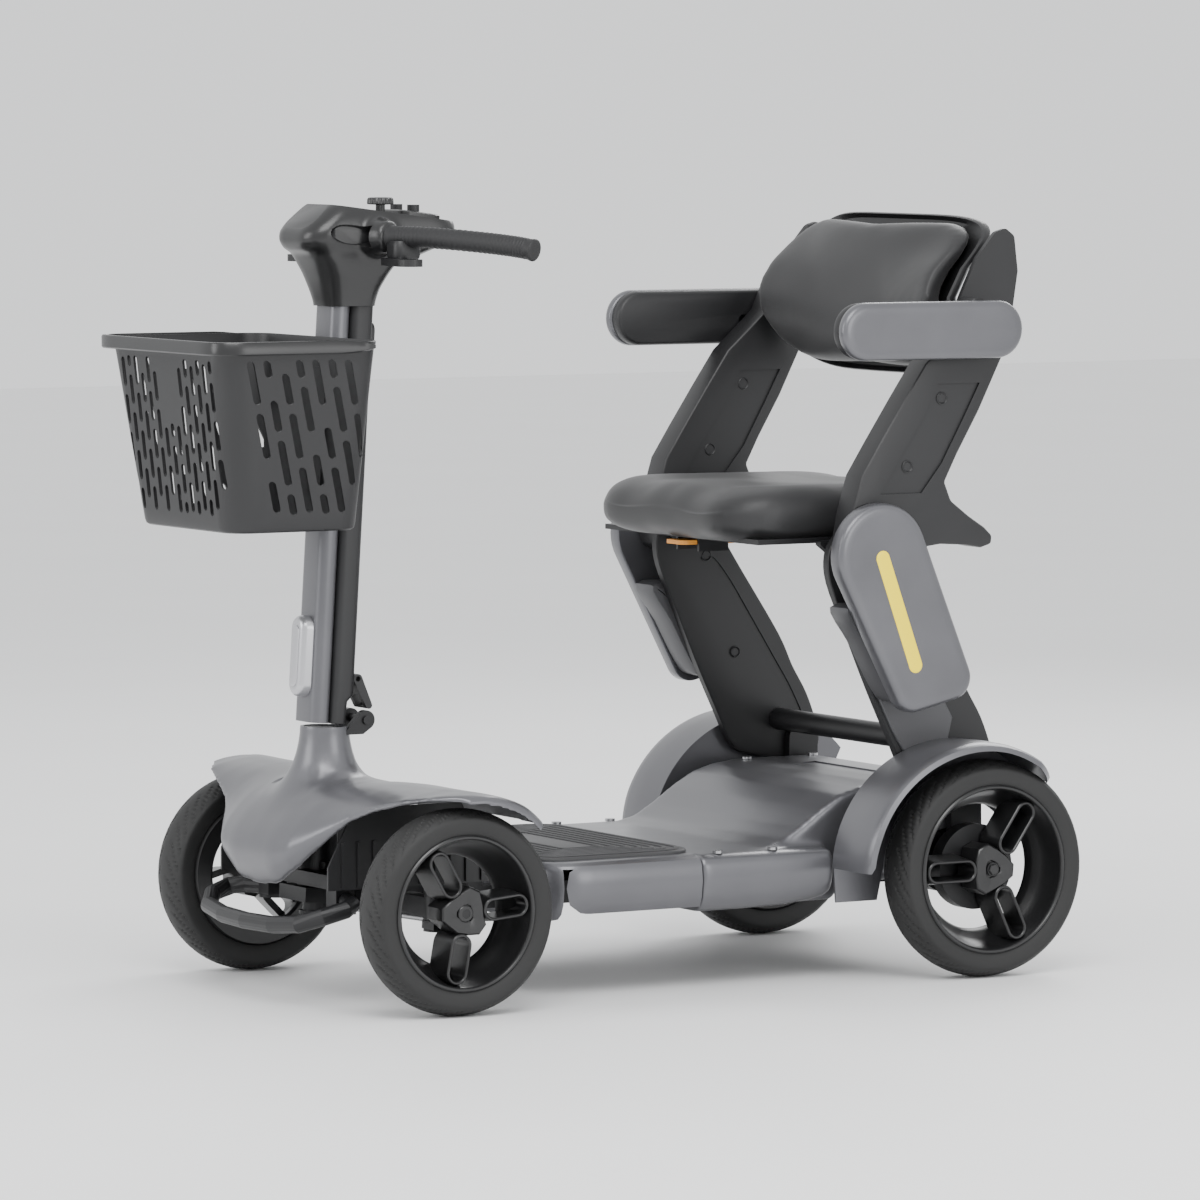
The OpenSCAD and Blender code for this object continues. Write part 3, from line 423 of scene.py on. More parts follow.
def cowl_profile(y):
    """Cover's profile at a distance from the middle, with the flare of the steering tower."""
    row = [[float(np.interp(abs(y), COWL_AT, column)) for column in zip(*table)]
           for table in (COWL_X, COWL_Z)]
    out = []
    for p in smooth_path([(x, 0, z) for x, z in zip(*row)]):
        r = math.hypot(p.x - TOWER_X, y * 1.04)
        flare = min(FLARE_TOP, float(np.interp(r, TOWER_R, TOWER_Z)))
        # A maximum of the two heights that blends over k, which fades out towards the nose
        k = 15 * max(0, min(1, (125 - p.x) / 30))
        out.append((p.x, (p.z + flare + math.sqrt((p.z - flare) ** 2 + k * k)) / 2
                    - max(0, (k - abs(p.z - flare) * 0.4) * 0.1)))
    return out


def front_cowl():
    edge = [COWL_HALF, COWL_HALF - 3, COWL_HALF - 8]
    stations = [-y for y in edge] + [-270 + 10 * k for k in range(55)] + edge[::-1]
    rings = []
    for y in stations:
        top = cowl_profile(y)
        under = []
        for i, (x, z) in enumerate(top):
            ax, az = top[max(i - 1, 0)]
            bx, bz = top[min(i + 1, len(top) - 1)]
            size = math.hypot(bx - ax, bz - az)
            under.append((x + COWL_WALL * (bz - az) / size, z - COWL_WALL * (bx - ax) / size))
        rings.append(across(top + under[::-1], y))
    skin = loft("skin", rings)
    tower = loft("tower", [[at(TOWER_X + r * math.cos(t), r * 0.97 * math.sin(t), z) for t in turns(64)]
                           for r, z in ((38, 236), (40, 258), (35.5, 269), (32.4, 279), (30, 290),
                                        (28.6, 300), (28.2, 312))])
    body = fuse("front_cowl_skin", [skin, tower], voxel=3, rounds=7)
    bore = prism_z("bore", circle(TOWER_X, 0, 24, 48), 190, 330)
    top = prism("top_trim", [(-40, 306.4), (90, 308.5), (90, 340), (-40, 340)], -80, 80)
    slot = prism("hinge_slot", [(-60, 276), (6, 276), (6, 330), (-60, 330)], -24.5, 24.5)
    dimple = ball("dimple", (74, -56, 252), (26, 15, 14), 32)
    cut(body, bore, top, slot, dimple)
    finish_piece(body, "chassis", GREY, ["front_cowl"], angle=50)


front_cowl()


# ---------- wheels ----------

# Depth of the tyre's section, from the rim's edge to the tread
TYRE_WALL = 28.5
# Number of tread blocks round a tyre, and where their cuts run, from the tyre's middle
BLOCKS = 34
CUT_INNER, CUT_OUTER, CUT_DEPTH = 5, 25.5, 2.2


def revolve(name, profile, hub, side, steps=96, depth=None):
    """Turns a profile of (radius, distance out from the tyre's middle) about a wheel's axle."""
    x0, radius = hub
    rings = []
    for a in turns(steps):
        ring = []
        for r, out in profile:
            if depth:
                r -= depth(a, r, out)
            ring.append(at(x0 + r * math.cos(a), side * (HALF_TRACK + out), radius + r * math.sin(a)))
        rings.append(ring)
    return loft(name, rings, closed=True)


def tyre(name, hub, side):
    """Tyre with a rounded section and a cut tread."""
    radius = hub[1]
    bead = radius - TYRE_WALL

    def depth(a, r, out):
        """Slanted sipes that start on the shoulder and fade out before the middle of the tread."""
        if r < radius - 13 or abs(out) < CUT_INNER or abs(out) > CUT_OUTER:
            return 0
        phase = (a * BLOCKS / (2 * math.pi) + math.copysign(1, out) * 0.25 + abs(out) ** 1.5 / 62) % 1
        near = min(phase, 1 - phase)
        ends = min(1, (abs(out) - CUT_INNER) / 4) * min(1, (CUT_OUTER + 0.3 - abs(out)) / 2.5)
        return CUT_DEPTH * ends * max(0, 1 - (near / 0.11) ** 2)

    half = [(-3, 18), (-1, 23.5), (1.5, 25.2), (6, 26.8), (12, 27.7), (16, 27.9), (18.2, 27.4), (19.6, 26.4),
            (20.6, 25.3), (21.8, 24), (23.2, 22), (24.4, 19.8), (25.5, 17.2), (26.4, 14.6), (27.1, 12),
            (27.7, 9.4), (28.1, 6.8), (28.4, 4), (28.5, 1.4)]
    profile = [(bead + rise, out) for rise, out in half] + [(bead + rise, -out) for rise, out in half[::-1]]
    return revolve(name, profile, hub, side, steps=BLOCKS * 16, depth=depth)


def stadium(r1, r2, wide, steps=14):
    """Outline of a slot along a spoke: (along, across) points round two ends."""
    return [(middle + wide * math.cos(t), wide * math.sin(t)) for middle, start in ((r2, -90), (r1, 90))
            for t in (math.radians(start + 180 * k / steps) for k in range(steps + 1))]


def rim(name, hub, side, spokes, bolt):
    """Rim bowl, three hollow spokes at the given angles, hub, and a hexagon bolt or a round cap."""
    x0, radius = hub
    lip = radius - TYRE_WALL
    bowl = [(0, 17), (0.6, 22), (0, 25.2), (-1.6, 26.6), (-3.6, 26.6), (-5, 25.2), (-6, 21.5), (-8, 14),
            (-11.5, 5), (-16, -3), (-22, -9), (-25, -14), (-25.4, -22), (-22, -25), (-4, -26), (-1, -22),
            (-2, -12), (-2, 10)]
    parts = [revolve("bowl", [(lip + rise, out) for rise, out in bowl], hub, side, steps=128)]

    def spot(along, across, out, turn):
        a = math.radians(turn)
        return at(x0 - along * math.cos(a) + across * math.sin(a), side * (HALF_TRACK + out),
                  radius + along * math.sin(a) + across * math.cos(a))

    # Section through the wall of a spoke's loop: (half width of the loop, distance out)
    wall = [(13.2, 23.4), (12.2, 24.6), (10.6, 24.8), (9.6, 23.6), (8.6, 0), (8.4, -9), (17, -11), (15.2, 6)]
    loops = [stadium(36, lip - 21, wide) for wide, _ in wall]
    for turn in spokes:
        rings = [[spot(*loop[k], out, turn) for loop, (_, out) in zip(loops, wall)]
                 for k in range(len(loops[0]))]
        parts.append(loft("loop", rings, closed=True))
    corners = sorted(((turn + step) % 360, r) for turn in spokes for step, r in
                     ((-17, 24.5), (17, 24.5), (47, 30.5), (73, 30.5)))
    hub_levels = [(0.86, -16), (1.0, -12), (1.02, 19), (0.985, 21.4), (0.93, 22.6), (0.42, 22.6),
                  (0.36, 21.6), (0.34, 19.5)]
    if bolt:
        angles = [k * 60 + 10 for k in range(6)]
        bolt_levels = [(6.6, 18), (6.6, 24.6), (5.8, 25.6)]
    else:
        angles = [k * 12 for k in range(30)]
        bolt_levels = [(9.4, 18), (9.4, 22.2), (8.4, 23.2), (5.2, 23.4), (4.6, 22.2)]
    for outline, levels in ((corners, hub_levels), ([(t, 1) for t in angles], bolt_levels)):
        parts.append(loft("hub", [[spot(r * k, 0, out, t) for t, r in outline] for k, out in levels]))
    return join(name, parts)


# Name, middle, side, and how the wheel's spokes stand
WHEELS = [("front_left", (0, FRONT_R), 1, (120, 5, -100)),
          ("front_right", (0, FRONT_R), -1, (75, -45, 195)),
          ("rear_left", (REAR, REAR_R), 1, (55, 180, -65)),
          ("rear_right", (REAR, REAR_R), -1, (90, -30, 210))]
for label, hub, side, spokes in WHEELS:
    end, hand = label.split("_")
    body = "wheel_" + label
    finish_piece(tyre("tyre_" + label, hub, side), body, RUBBER, [end + "_tyre_" + hand],
                 angle=34)
    finish_piece(rim("rim_" + label, hub, side, spokes, end == "rear"), body, BLACK_SATIN,
                 [end + "_rim_" + hand], angle=32)


# ---------- seat and backrest ----------

CLOTH = {"use_pressure": True, "quality": 5, "mass": 0.3, "tension_stiffness": 25,
         "compression_stiffness": 25, "bending_stiffness": 1.5}
CLOTH_FRAMES = 20
CLOTH_VOXEL = 5


def inflate(obj, pressure, cap):
    """Blows a closed shape up as padded cloth; no point moves further than the cap, in mm."""
    melt(obj, CLOTH_VOXEL, 6)
    rest = np.empty(len(obj.data.vertices) * 3)
    obj.data.vertices.foreach_get("co", rest)
    cloth = obj.modifiers.new("cloth", "CLOTH")
    for key, value in CLOTH.items():
        setattr(cloth.settings, key, value)
    cloth.settings.uniform_pressure_force = pressure
    cloth.settings.effector_weights.gravity = 0
    scene = bpy.context.scene
    scene.frame_start, scene.frame_end = 1, CLOTH_FRAMES
    for number in range(1, CLOTH_FRAMES + 1):
        scene.frame_set(number)
    puffed = obj.evaluated_get(bpy.context.evaluated_depsgraph_get())
    moved = np.empty_like(rest)
    puffed.data.vertices.foreach_get("co", moved)
    step = (moved - rest).reshape(-1, 3)
    step[~np.isfinite(step).all(axis=1)] = 0
    reach = np.linalg.norm(step, axis=1, keepdims=True)
    limit = cap * MM
    step *= np.where(reach > 0, limit * np.tanh(reach / limit) / np.maximum(reach, 1e-9), 0)
    obj.modifiers.clear()
    scene.frame_set(1)
    obj.data.vertices.foreach_set("co", rest + step.ravel())
    obj.data.update()
    modify(obj, "SMOOTH", factor=0.5, iterations=45)
    modify(obj, "SUBSURF", levels=1)


def move_points(obj, change):
    """Moves each point to a function of its place in mm."""
    for v in obj.data.vertices:
        x, y, z = (v.co.x - FRONT_X) / MM, v.co.y / MM, v.co.z / MM
        v.co = at(*change(x, y, z))
    obj.data.update()


# Seat cushion: rear end, front end, half width
SEAT_REAR, SEAT_FRONT, SEAT_HALF = -715, -403, 181


def seat_cushion():
    """Cushion blown up from a rounded slab, then dished for the rider."""
    # Height, inset and corner radius of each ring
    levels = [(516, 10, 58), (517, 5, 62), (520, 1.6, 66), (525, 0, 70), (536, -0.6, 72), (550, 0, 72),
              (557, 1.5, 70), (562, 5, 66), (565, 11, 60), (566.5, 24, 50)]
    pad = level_loft("seat_cushion_padded", [(z, SEAT_REAR + g, SEAT_FRONT - g, SEAT_HALF - g, r)
                                             for z, g, r in levels])
    inflate(pad, pressure=4, cap=9)

    def contour(x, y, z):
        """A dish for the seat bones, two thigh channels and a front edge that rolls down."""
        if z < 540:
            return x, y, z
        top = min(1, (z - 540) / 14)
        dish = 7.5 * math.exp(-((x + 610) / 85) ** 2 - (y / 120) ** 2)
        thighs = 4.5 * math.exp(-((abs(y) - 80) / 42) ** 2) * max(0, min(1, (x + 590) / 90))
        roll = 10 * max(0, (x + 470) / 66) ** 2
        rear = 3 * max(0, (-640 - x) / 74)
        return x, y, z - top * (dish + thighs + roll - rear)

    move_points(pad, contour)
    finish_piece(pad, "seat", VINYL, ["seat_cushion"], angle=60)


# Backrest: height of its middle, half width, half height, thickness
BACK_Z, BACK_HALF, BACK_HIGH, BACK_THICK = 790, 190, 90, 34


def back_face(y, z):
    """Front face of the backrest at a height and a distance from the middle."""
    middle_x = float(np.interp(z, [680, 720, 770, 830, 890], [-690, -682, -684, -695, -710]))
    wing = float(np.interp(z, [680, 700, 725, 755, 790, 820, 850, 875, 895],
                           [-20, -6, 12, 27, 34, 24, 2, -20, -34]))
    return middle_x + wing * min(1.0, abs(y) / BACK_HALF) ** 2.4


def back_ring(share, behind, steps=72):
    """Backrest's outline at a share of its size and a depth behind its face: flat top, full lower curve."""
    ring = []
    for t in turns(steps):
        c, s = math.cos(t), math.sin(t)
        y = share * BACK_HALF * math.copysign(abs(c) ** (0.5 if s < 0 else 0.4), c)
        z = BACK_Z + share * BACK_HIGH * math.copysign(abs(s) ** (0.42 if s > 0 else 0.62), s)
        near_y = min(max(y, -BACK_HALF), BACK_HALF)
        near_z = min(max(z, BACK_Z - 96), BACK_Z + 98)
        ring.append(at(back_face(near_y, near_z) - behind, y, z))
    return ring


def backrest():
    """Padded panel with wings that wrap forward, and the shell behind it."""
    pad_levels = [(0.5, 0), (0.8, 0), (0.93, 0), (0.985, 2), (1.0, 6), (1.0, BACK_THICK - 6),
                  (0.985, BACK_THICK - 2), (0.93, BACK_THICK), (0.8, BACK_THICK), (0.5, BACK_THICK)]
    pad = loft("backrest_padded", [back_ring(*level) for level in pad_levels])
    inflate(pad, pressure=3, cap=14)
    finish_piece(pad, "back", VINYL, ["backrest_cushion"], angle=60)
    shell_levels = [(0.4, 3), (0.97, 3), (1.03, -4), (1.045, -2), (1.045, 4), (1.02, 10), (0.94, 14),
                    (0.8, 17), (0.4, 19)]
    shell = loft("backrest_shell_skin", [back_ring(share, BACK_THICK + by) for share, by in shell_levels])
    finish_piece(shell, "back", BLACK, ["backrest_shell"], angle=40)


def bolt_head(x, y, z, side, r=5.5):
    """Recessed round screw head facing outwards."""
    levels = [(r + 2, -1.5), (r + 2, 0.4), (r + 1, 1), (r, 0.2), (r * 0.9, -0.6)]
    return loft("bolt", [across(circle(x, z, k, 28), side * (y + out)) for k, out in levels])


# Backrest arms: inner and outer faces
ARM_IN, ARM_OUT = 201, 238


def back_arms():
    """Arms that carry the backrest, with a sunk panel on both faces and a thin ear at the top."""
    outline = [(-520, 505), (-528, 545), (-541, 588), (-566, 626), (-600, 676), (-628, 716), (-660, 744),
               (-682, 764), (-696, 796), (-716, 836), (-742, 866), (-756, 870), (-768, 861), (-773, 820),
               (-766, 776), (-748, 740), (-734, 722), (-702, 660), (-672, 610), (-655, 578), (-664, 556),
               (-688, 538), (-710, 524), (-721, 514), (-720, 504), (-706, 500), (-684, 504), (-650, 506),
               (-600, 500), (-584, 484), (-566, 472), (-545, 474), (-528, 484)]
    sunk = [(-566, 566), (-590, 604), (-626, 656), (-644, 692), (-702, 692), (-680, 652), (-650, 600),
            (-622, 566)]
    ear = [(-600, 790), (-705, 790), (-795, 695), (-900, 695), (-900, 900), (-600, 900)]
    arm = prism("arm", outline, ARM_IN, ARM_OUT)
    modify(arm, "BEVEL", width=3.4 * MM, segments=3, limit_method="ANGLE", angle_limit=math.radians(28),
           harden_normals=False)
    cut(arm, prism("panel", sunk, ARM_OUT - 2.5, ARM_OUT + 12), prism("ear", ear, ARM_IN + 9, ARM_OUT + 22),
        prism("panel", sunk, ARM_IN - 11, ARM_IN + 2.5))
    bolts = [(-604, 597), (-651, 675)]
    parts = [arm] + [bolt_head(x, ARM_OUT - 2, z, 1) for x, z in bolts]
    parts += [bolt_head(x, -ARM_IN - 2.6, z, -1) for x, z in bolts]
    parts.append(bolt_head(-744, ARM_IN + 8, 836, 1, 4))
    finish_pair(join("back_arm_left_skin.001", parts), "back", BLACK, ["back_arm_left"],
                angle=24)


def pill(name, x0, x1, z0, z1, levels):
    """Stadium seen from the side, built up across from (y, inset) pairs."""
    r = (z1 - z0) / 2 - 0.01
    return loft(name, [across(round_rect((x0 + x1) / 2, (z0 + z1) / 2, x1 - x0, z1 - z0, r, 12, g), y)
                       for y, g in levels])


def armrests():
    """Black pad with a screw recess on its inner face, and the grey cap outside it."""
    inner = pill("armrest_pad_left", -741, -497, 722, 788,
                 [(240, 5), (241, 2.6), (243.5, 1), (247, 0.4), (254, 0.4), (256, 1.4), (257, 3)])
    outer = pill("armrest_cap_left", -742, -495, 721.5, 788.5,
                 [(256.6, 4), (257.4, 1.6), (259, 0.5), (264, 0), (267.4, 0.8), (269.6, 2.6), (270.9, 5.2),
                  (271.5, 9), (271.5, 14)])
    cut(inner, prism("recess", circle(-674, 750, 7.5, 40), 238, 249))
    for part, look, slot in ((inner, BLACK, "black_plastic"), (outer, GREY, "grey_cover")):
        finish_pair(part, "arm_pad_left", look, ["armrest_left"])


seat_cushion()
backrest()
back_arms()
armrests()


# ---------- seat legs ----------


def hull_outline(circles, grow=0.0, steps=48):
    """Convex outline round circles given as (x, z, radius), grown or shrunk at the same points."""
    marks = []
    for index, (x, z, r) in enumerate(circles):
        for t in turns(steps):
            marks.append((round(x + r * math.cos(t), 5), round(z + r * math.sin(t), 5), index, t))
    marks.sort()

    def chain(items):
        """One side of the convex hull of points in order."""
        out = []
        for p in items:
            while len(out) > 1 and ((out[-1][0] - out[-2][0]) * (p[1] - out[-2][1])
                                    - (out[-1][1] - out[-2][1]) * (p[0] - out[-2][0])) <= 1e-6:
                out.pop()
            out.append(p)
        return out

    loop = chain(marks)[:-1] + chain(marks[::-1])[:-1]
    return [(circles[i][0] + (circles[i][2] + grow) * math.cos(t),
             circles[i][1] + (circles[i][2] + grow) * math.sin(t)) for _, _, i, t in loop]


def stacked(name, outline_at, levels):
    """Rings of one outline function at (y, growth) pairs, joined across."""
    return loft(name, [across(outline_at(g), y) for y, g in levels])


def shrunk(outline, by):
    """Outline moved inwards along its corner normals."""
    out = []
    n = len(outline)
    area = sum(outline[i][0] * outline[(i + 1) % n][1] - outline[(i + 1) % n][0] * outline[i][1]
               for i in range(n))
    turn = 1 if area > 0 else -1
    for i, (x, z) in enumerate(outline):
        ax, az = outline[i - 1]
        bx, bz = outline[(i + 1) % n]
        nx, nz = -(bz - az) * turn, (bx - ax) * turn
        size = math.hypot(nx, nz)
        out.append((x + by * nx / size, z + by * nz / size))
    return out


def rounded(outline):
    """Smooth closed curve through an outline's points."""
    return [(p.x, p.z) for p in smooth_path([(x, 0, z) for x, z in outline], 4, closed=True)]


# The light strip's end circles
LIGHT_R = 8.9
LIGHT_ENDS = [(TOP_X + 2, TOP_Z - 3, LIGHT_R), (TOP_X - 43, TOP_Z - 128, LIGHT_R)]


def leg_cover():
    """Grey outer cover, round at the upper pivot and narrowing downwards."""
    circles = [(TOP_X, TOP_Z, 60), (TOP_X - 44, TOP_Z - 157, 26), (TOP_X - 96, TOP_Z - 145, 26)]
    levels = [(240, 2), (241, 0.5), (243, 0), (256, 0), (258.6, 0.9), (260.6, 2.6), (261.9, 5), (262.5, 8.5),
              (262.6, 14)]
    return stacked("leg_cover_left_skin", lambda g: hull_outline(circles, -g), levels)


def leg_light():
    """Light strip that stands just proud of the cover."""
    return stacked("leg_light_left", lambda g: hull_outline(LIGHT_ENDS, g),
                   [(262, 0), (262.9, 0), (263.4, -0.8), (263.7, -2.2), (263.8, -4)])


def leg_plate():
    """Black leg plate with a sunk panel on its inner face."""
    outline = rounded([(-520, 494), (-523, 462), (-548, 404), (-577, 338), (-606, 278), (-622, 246),
                       (-640, 230), (-690, 221), (-722, 219), (-742, 224), (-750, 240), (-746, 262),
                       (-732, 298), (-712, 332), (-692, 372), (-640, 450), (-606, 500), (-582, 522),
                       (-552, 528), (-530, 514)])
    plate = stacked("leg_plate", lambda g: shrunk(outline, g),
                    [(186.4, 3.5), (187, 1.2), (188.2, 0), (197.6, 0), (199, 1)])
    panel_line = rounded([(-560, 452), (-590, 398), (-622, 340), (-650, 292), (-690, 262), (-726, 262),
                          (-712, 300), (-684, 345), (-650, 398), (-618, 446), (-592, 470)])
    cut(plate, prism("panel", panel_line, 180, 188))
    return plate


def leg_box():
    """Body of the leg between its inner plate and its outer cover."""
    outline = rounded([(-520, 436), (-546, 390), (-574, 340), (-590, 324), (-622, 322), (-652, 330),
                       (-662, 345), (-645, 400), (-620, 430), (-580, 438)])
    return stacked("leg_box", lambda g: shrunk(outline, g),
                   [(198, 9), (199.4, 2), (204, 0), (236, 0), (239.6, 1)])


def leg_skirt():
    """Lower end of the leg's shell, bent inwards to pass inside the wheel cover."""
    outline = [(-578, 345), (-606, 288), (-634, 244), (-676, 246), (-690, 300), (-664, 345)]
    return stacked("leg_skirt", lambda g: shrunk(outline, g), [(198.6, 0), (201.6, 0.4), (202.6, 2)])


def legs():
    """Both legs with their cross tube, covers and light strips."""
    cover = leg_cover()
    light = leg_light()
    cross = loft("cross", [across(circle(-692, 268, 13.4, 32), y) for y in (-188, -184, 184, 188)])
    bolts = [bolt_head(x, -186.6, z, -1, 5) for x, z in ((-589, 470), (-630, 352), (-720, 244))]
    plate = join("plate", [leg_plate()] + bolts)
    frame_skin = join("leg_frame_skin.001", [plate, mirrored(plate, "plate_right"), cross])
    finish_piece(frame_skin, "legs", BLACK, ["leg_frame"], angle=30)
    shell = join("leg_shell_left", [leg_box(), leg_skirt()])
    # The leg shells take the darkened grey, which is painted shade on the same grey cover plastic
    for part, look, replaces, slot in ((cover, GREY, ["leg_cover_left"], "grey_cover"),
                                       (light, YELLOW, ["leg_lights"], "light_yellow"),
                                       (shell, GREY_PAINTED_SHADE, [], "grey_cover")):
        finish_pair(part, "legs", look, replaces, angle=32)


legs()


# ---------- handlebar head and mast ----------


def on_mast(x, y, up):
    """A place beside the leaning mast: across, sideways and up along it, from its foot."""
    return at(MAST_X + x * math.cos(LEAN) - up * math.sin(LEAN), y,
              MAST_Z + x * math.sin(LEAN) + up * math.cos(LEAN))


def mast_loft(name, sections):
    """Rounded rectangles across the mast: (up, x0, x1, half width, corner radius)."""
    return loft(name, [[on_mast(x, y, up) for x, y in
                        round_rect((x0 + x1) / 2, 0, x1 - x0, 2 * half, r, 6)]
                       for up, x0, x1, half, r in sections])


MAST_LEN = 478
LAMP_UP = 76


def mast():
    """Grey front profile and black rear channel of the mast, and the silver lamp."""
    front = mast_loft("mast_front_skin", [(up, 2, 26.4, 24.9, 11) for up in (0, MAST_LEN)])
    foot = mast_loft("foot", [(up, -30, 40, 40, 4) for up in (-1, 1.2)])
    joint = mast_loft("joint", [(up, -30, 2.4, 60, 1) for up in (-2, 500)])
    cut(front, foot, joint)
    finish_piece(front, "mast", GREY, ["mast_tube"], angle=35)
    rear = mast_loft("mast_rear_skin", [(1, -18, 2.2, 24.2, 7), (26, -20, 2.2, 24.7, 8),
                                        (34, -28, 2.2, 24.7, 10), (MAST_LEN, -28, 2.2, 24.7, 10)])
    cut(rear, mast_loft("groove", [(up, -30, -26.8, 12, 1) for up in (50, 432)]))
    finish_piece(rear, "mast", BLACK, ["mast_rear_cover"], angle=35)
    parts = [loft("lamp", [[on_mast(x, y, LAMP_UP + up) for y, up in round_rect(0, 0, wide, high, r, 10, g)]
                           for x, g in levels])
             for wide, high, r, levels in
             ((31, 93, 15.4, [(20, 0), (34, 0), (37.5, 1.2), (39.8, 3.4), (41, 7), (41, 10)]),
              (17, 70, 8.4, [(40.2, 0), (41.7, 0), (42.3, 1.4)]))]
    finish_piece(join("headlight_skin.001", parts), "mast", SILVER, ["headlight"], angle=30)


def head():
    """Handlebar head: neck, wedge and the bosses that the bar comes out of, melted together."""
    parts = [
        level_loft("neck", [(775, -23, 37, 28, 17), (792, -25, 39, 30, 18), (806, -29, 43, 34, 20),
                            (824, -39, 49, 40, 22), (845, -55, 59, 44, 20)]),
        level_loft("wedge", [(840, -70, 50, 38, 22), (852, -100, 72, 45, 26), (862, -118, 77, 49, 28),
                             (872, -122, 75, 50, 28), (882, -120, 66, 49, 26), (892, -100, 54, 47, 24),
                             (900, -40, 44, 42, 18), (904, -10, 38, 38, 14)]),
    ]
    for s in (-1, 1):
        arm = smooth_path([at(-8, s * 30, 864), at(-11, s * 52, 866), at(-16, s * 70, 866.5)], 4)
        parts.append(tube("boss", arm, lambda t: 25 - 7.5 * t, 20))
    body = fuse("head", parts, voxel=3.2, rounds=9)
    # The head slants down towards the rider, is open below, and ends under the bar
    top = prism("top", [(40, 902.5), (-130, 880), (-130, 960), (100, 960), (100, 880), (76, 872)], -120, 120)
    low = prism("low", [(-160, 700), (-160, 846), (-62, 838), (-40, 812), (-30, 700)], -120, 120)
    mouth = prism("mouth", [(-60, 700), (90, 700), (90, 786.5), (-60, 786.5)], -80, 80)
    cut(body, top, low, mouth)
    # Dished sides, longer towards the rear
    for s in (-1, 1):
        cut(body, loft("dish", [[at(26 + k * 30 * math.cos(t) * (1.25 if math.cos(t) < 0 else 0.8), s * y,
                                    868 + k * 11.5 * math.sin(t) + 3 * math.cos(t)) for t in turns(40)]
                                for y, k in ((60, 1.25), (48.5, 1), (45.5, 0.8))]))
    modify(body, "SMOOTH", factor=0.4, iterations=3)
    panel = level_loft("panel", [(886, -104, -50, 34, 12), (891, -104, -50, 34, 12),
                                 (892.5, -102, -52, 32, 11)])
    middle_of_panel = at(-77, 0, 889)
    panel.data.transform(Matrix.Translation(middle_of_panel)
                         @ Matrix.Rotation(-math.radians(7.5), 4, "Y")
                         @ Matrix.Translation(-middle_of_panel))
    finish_piece(join("head_skin.001", [body, panel]), "mast", BLACK_SATIN,
                 ["head_housing", "handlebar_tube"], angle=38)


GRIP_R = 11.9


def grip():
    """Ribbed rubber grip with a thick root collar and a flared end."""
    path = smooth_path([at(-15, 64, 866), at(-26, 92, 866.5), at(-46, 136, 865), at(-74, 186, 861),
                        at(-94, 221, 857), at(-106, 243, 853)], 26)

    def radius(t):
        collar = 2.4 * math.exp(-((t - 0.03) / 0.04) ** 2)
        end = 0.9 * math.exp(-((t - 0.955) / 0.03) ** 2)
        ribs = 0.35 * math.cos(2 * math.pi * t * 40) if 0.14 < t < 0.9 else 0
        tip = GRIP_R * (1 - math.sqrt(max(0.0, 1 - ((t - 0.965) / 0.036) ** 2))) if t > 0.965 else 0
        return max(1.2, GRIP_R + collar + end + ribs - tip)

    return tube("grip_left", path, radius, 28)


def switch_block():
    """Cable housing and stop under the grip's root."""
    return loft("grip_root_left", [level(round_rect(-24, 84, 34, 30, 9, 6, g), z)
                                   for z, g in ((840, 4), (842, 1), (846, 0), (858, 0), (862, 2))])


KNOB_X, KNOB_Y, KNURLS = -26, 26, 18


def controls():
    """Grips, their cable housings and the knurled dial."""
    hold = grip()
    housing = switch_block()
    finish_pair(hold, "mast", GRIP, ["grips"])
    finish_pair(housing, "mast", BLACK, [])
    wave = [(1 + 0.035 * math.cos(KNURLS * t), t) for t in turns(6 * KNURLS)]
    knob = loft("speed_knob_skin", [[at(KNOB_X + r * k * math.cos(t), KNOB_Y + r * k * math.sin(t), z)
                                     for k, t in wave]
                                    for z, r in ((884, 5.2), (901.5, 5.2), (902, 14), (903, 15), (908, 14.6),
                                                 (909.6, 13.4), (910, 11), (909.2, 8))])
    finish_piece(knob, "knob", BLACK_SATIN, ["speed_knob"])


mast()
head()
controls()


# ---------- basket ----------

RIM_Z, FLOOR_Z = 752, 540
# Front slots: step between columns, step between rows, length, width
COLUMN_STEP, ROW_STEP, SLOT_LONG, SLOT_WIDE = 15.2, 43, 34, 8.2
# Side slots: step between columns, step between rows, slant, width
SIDE_STEP, SIDE_ROW, SLANT, SIDE_WIDE = 20.5, 61, 0.27, 9.4


def basket_wall(z):
    """Basket's outer walls at a height: front, rear and half width."""
    t = (z - FLOOR_Z) / (RIM_Z - FLOOR_Z)
    return 214 + 24 * t, 45 - 9 * t, 119 + 29 * t


def basket_ring(z, inset, r):
    """Ring round the basket at a height, moved inwards by the inset."""
    front, rear, half = basket_wall(z)
    return level(round_rect((front + rear) / 2, 0, front - rear - 2 * inset, 2 * (half - inset),
                            r - inset * 0.8, 10), z)


def slot_cutter(centre, along, beside, out, long, wide):
    """Stadium-shaped cutter through a wall."""
    along, beside, out = (Vector(v).normalized() for v in (along, beside, out))
    half = (long - wide) / 2
    ring = [(a * MM, c * MM) for a, c in stadium(-half, half, wide / 2, 7)]
    return loft("slot", [[centre + a * along + c * beside + d * MM * out for a, c in ring]
                         for d in (-14, 14)])


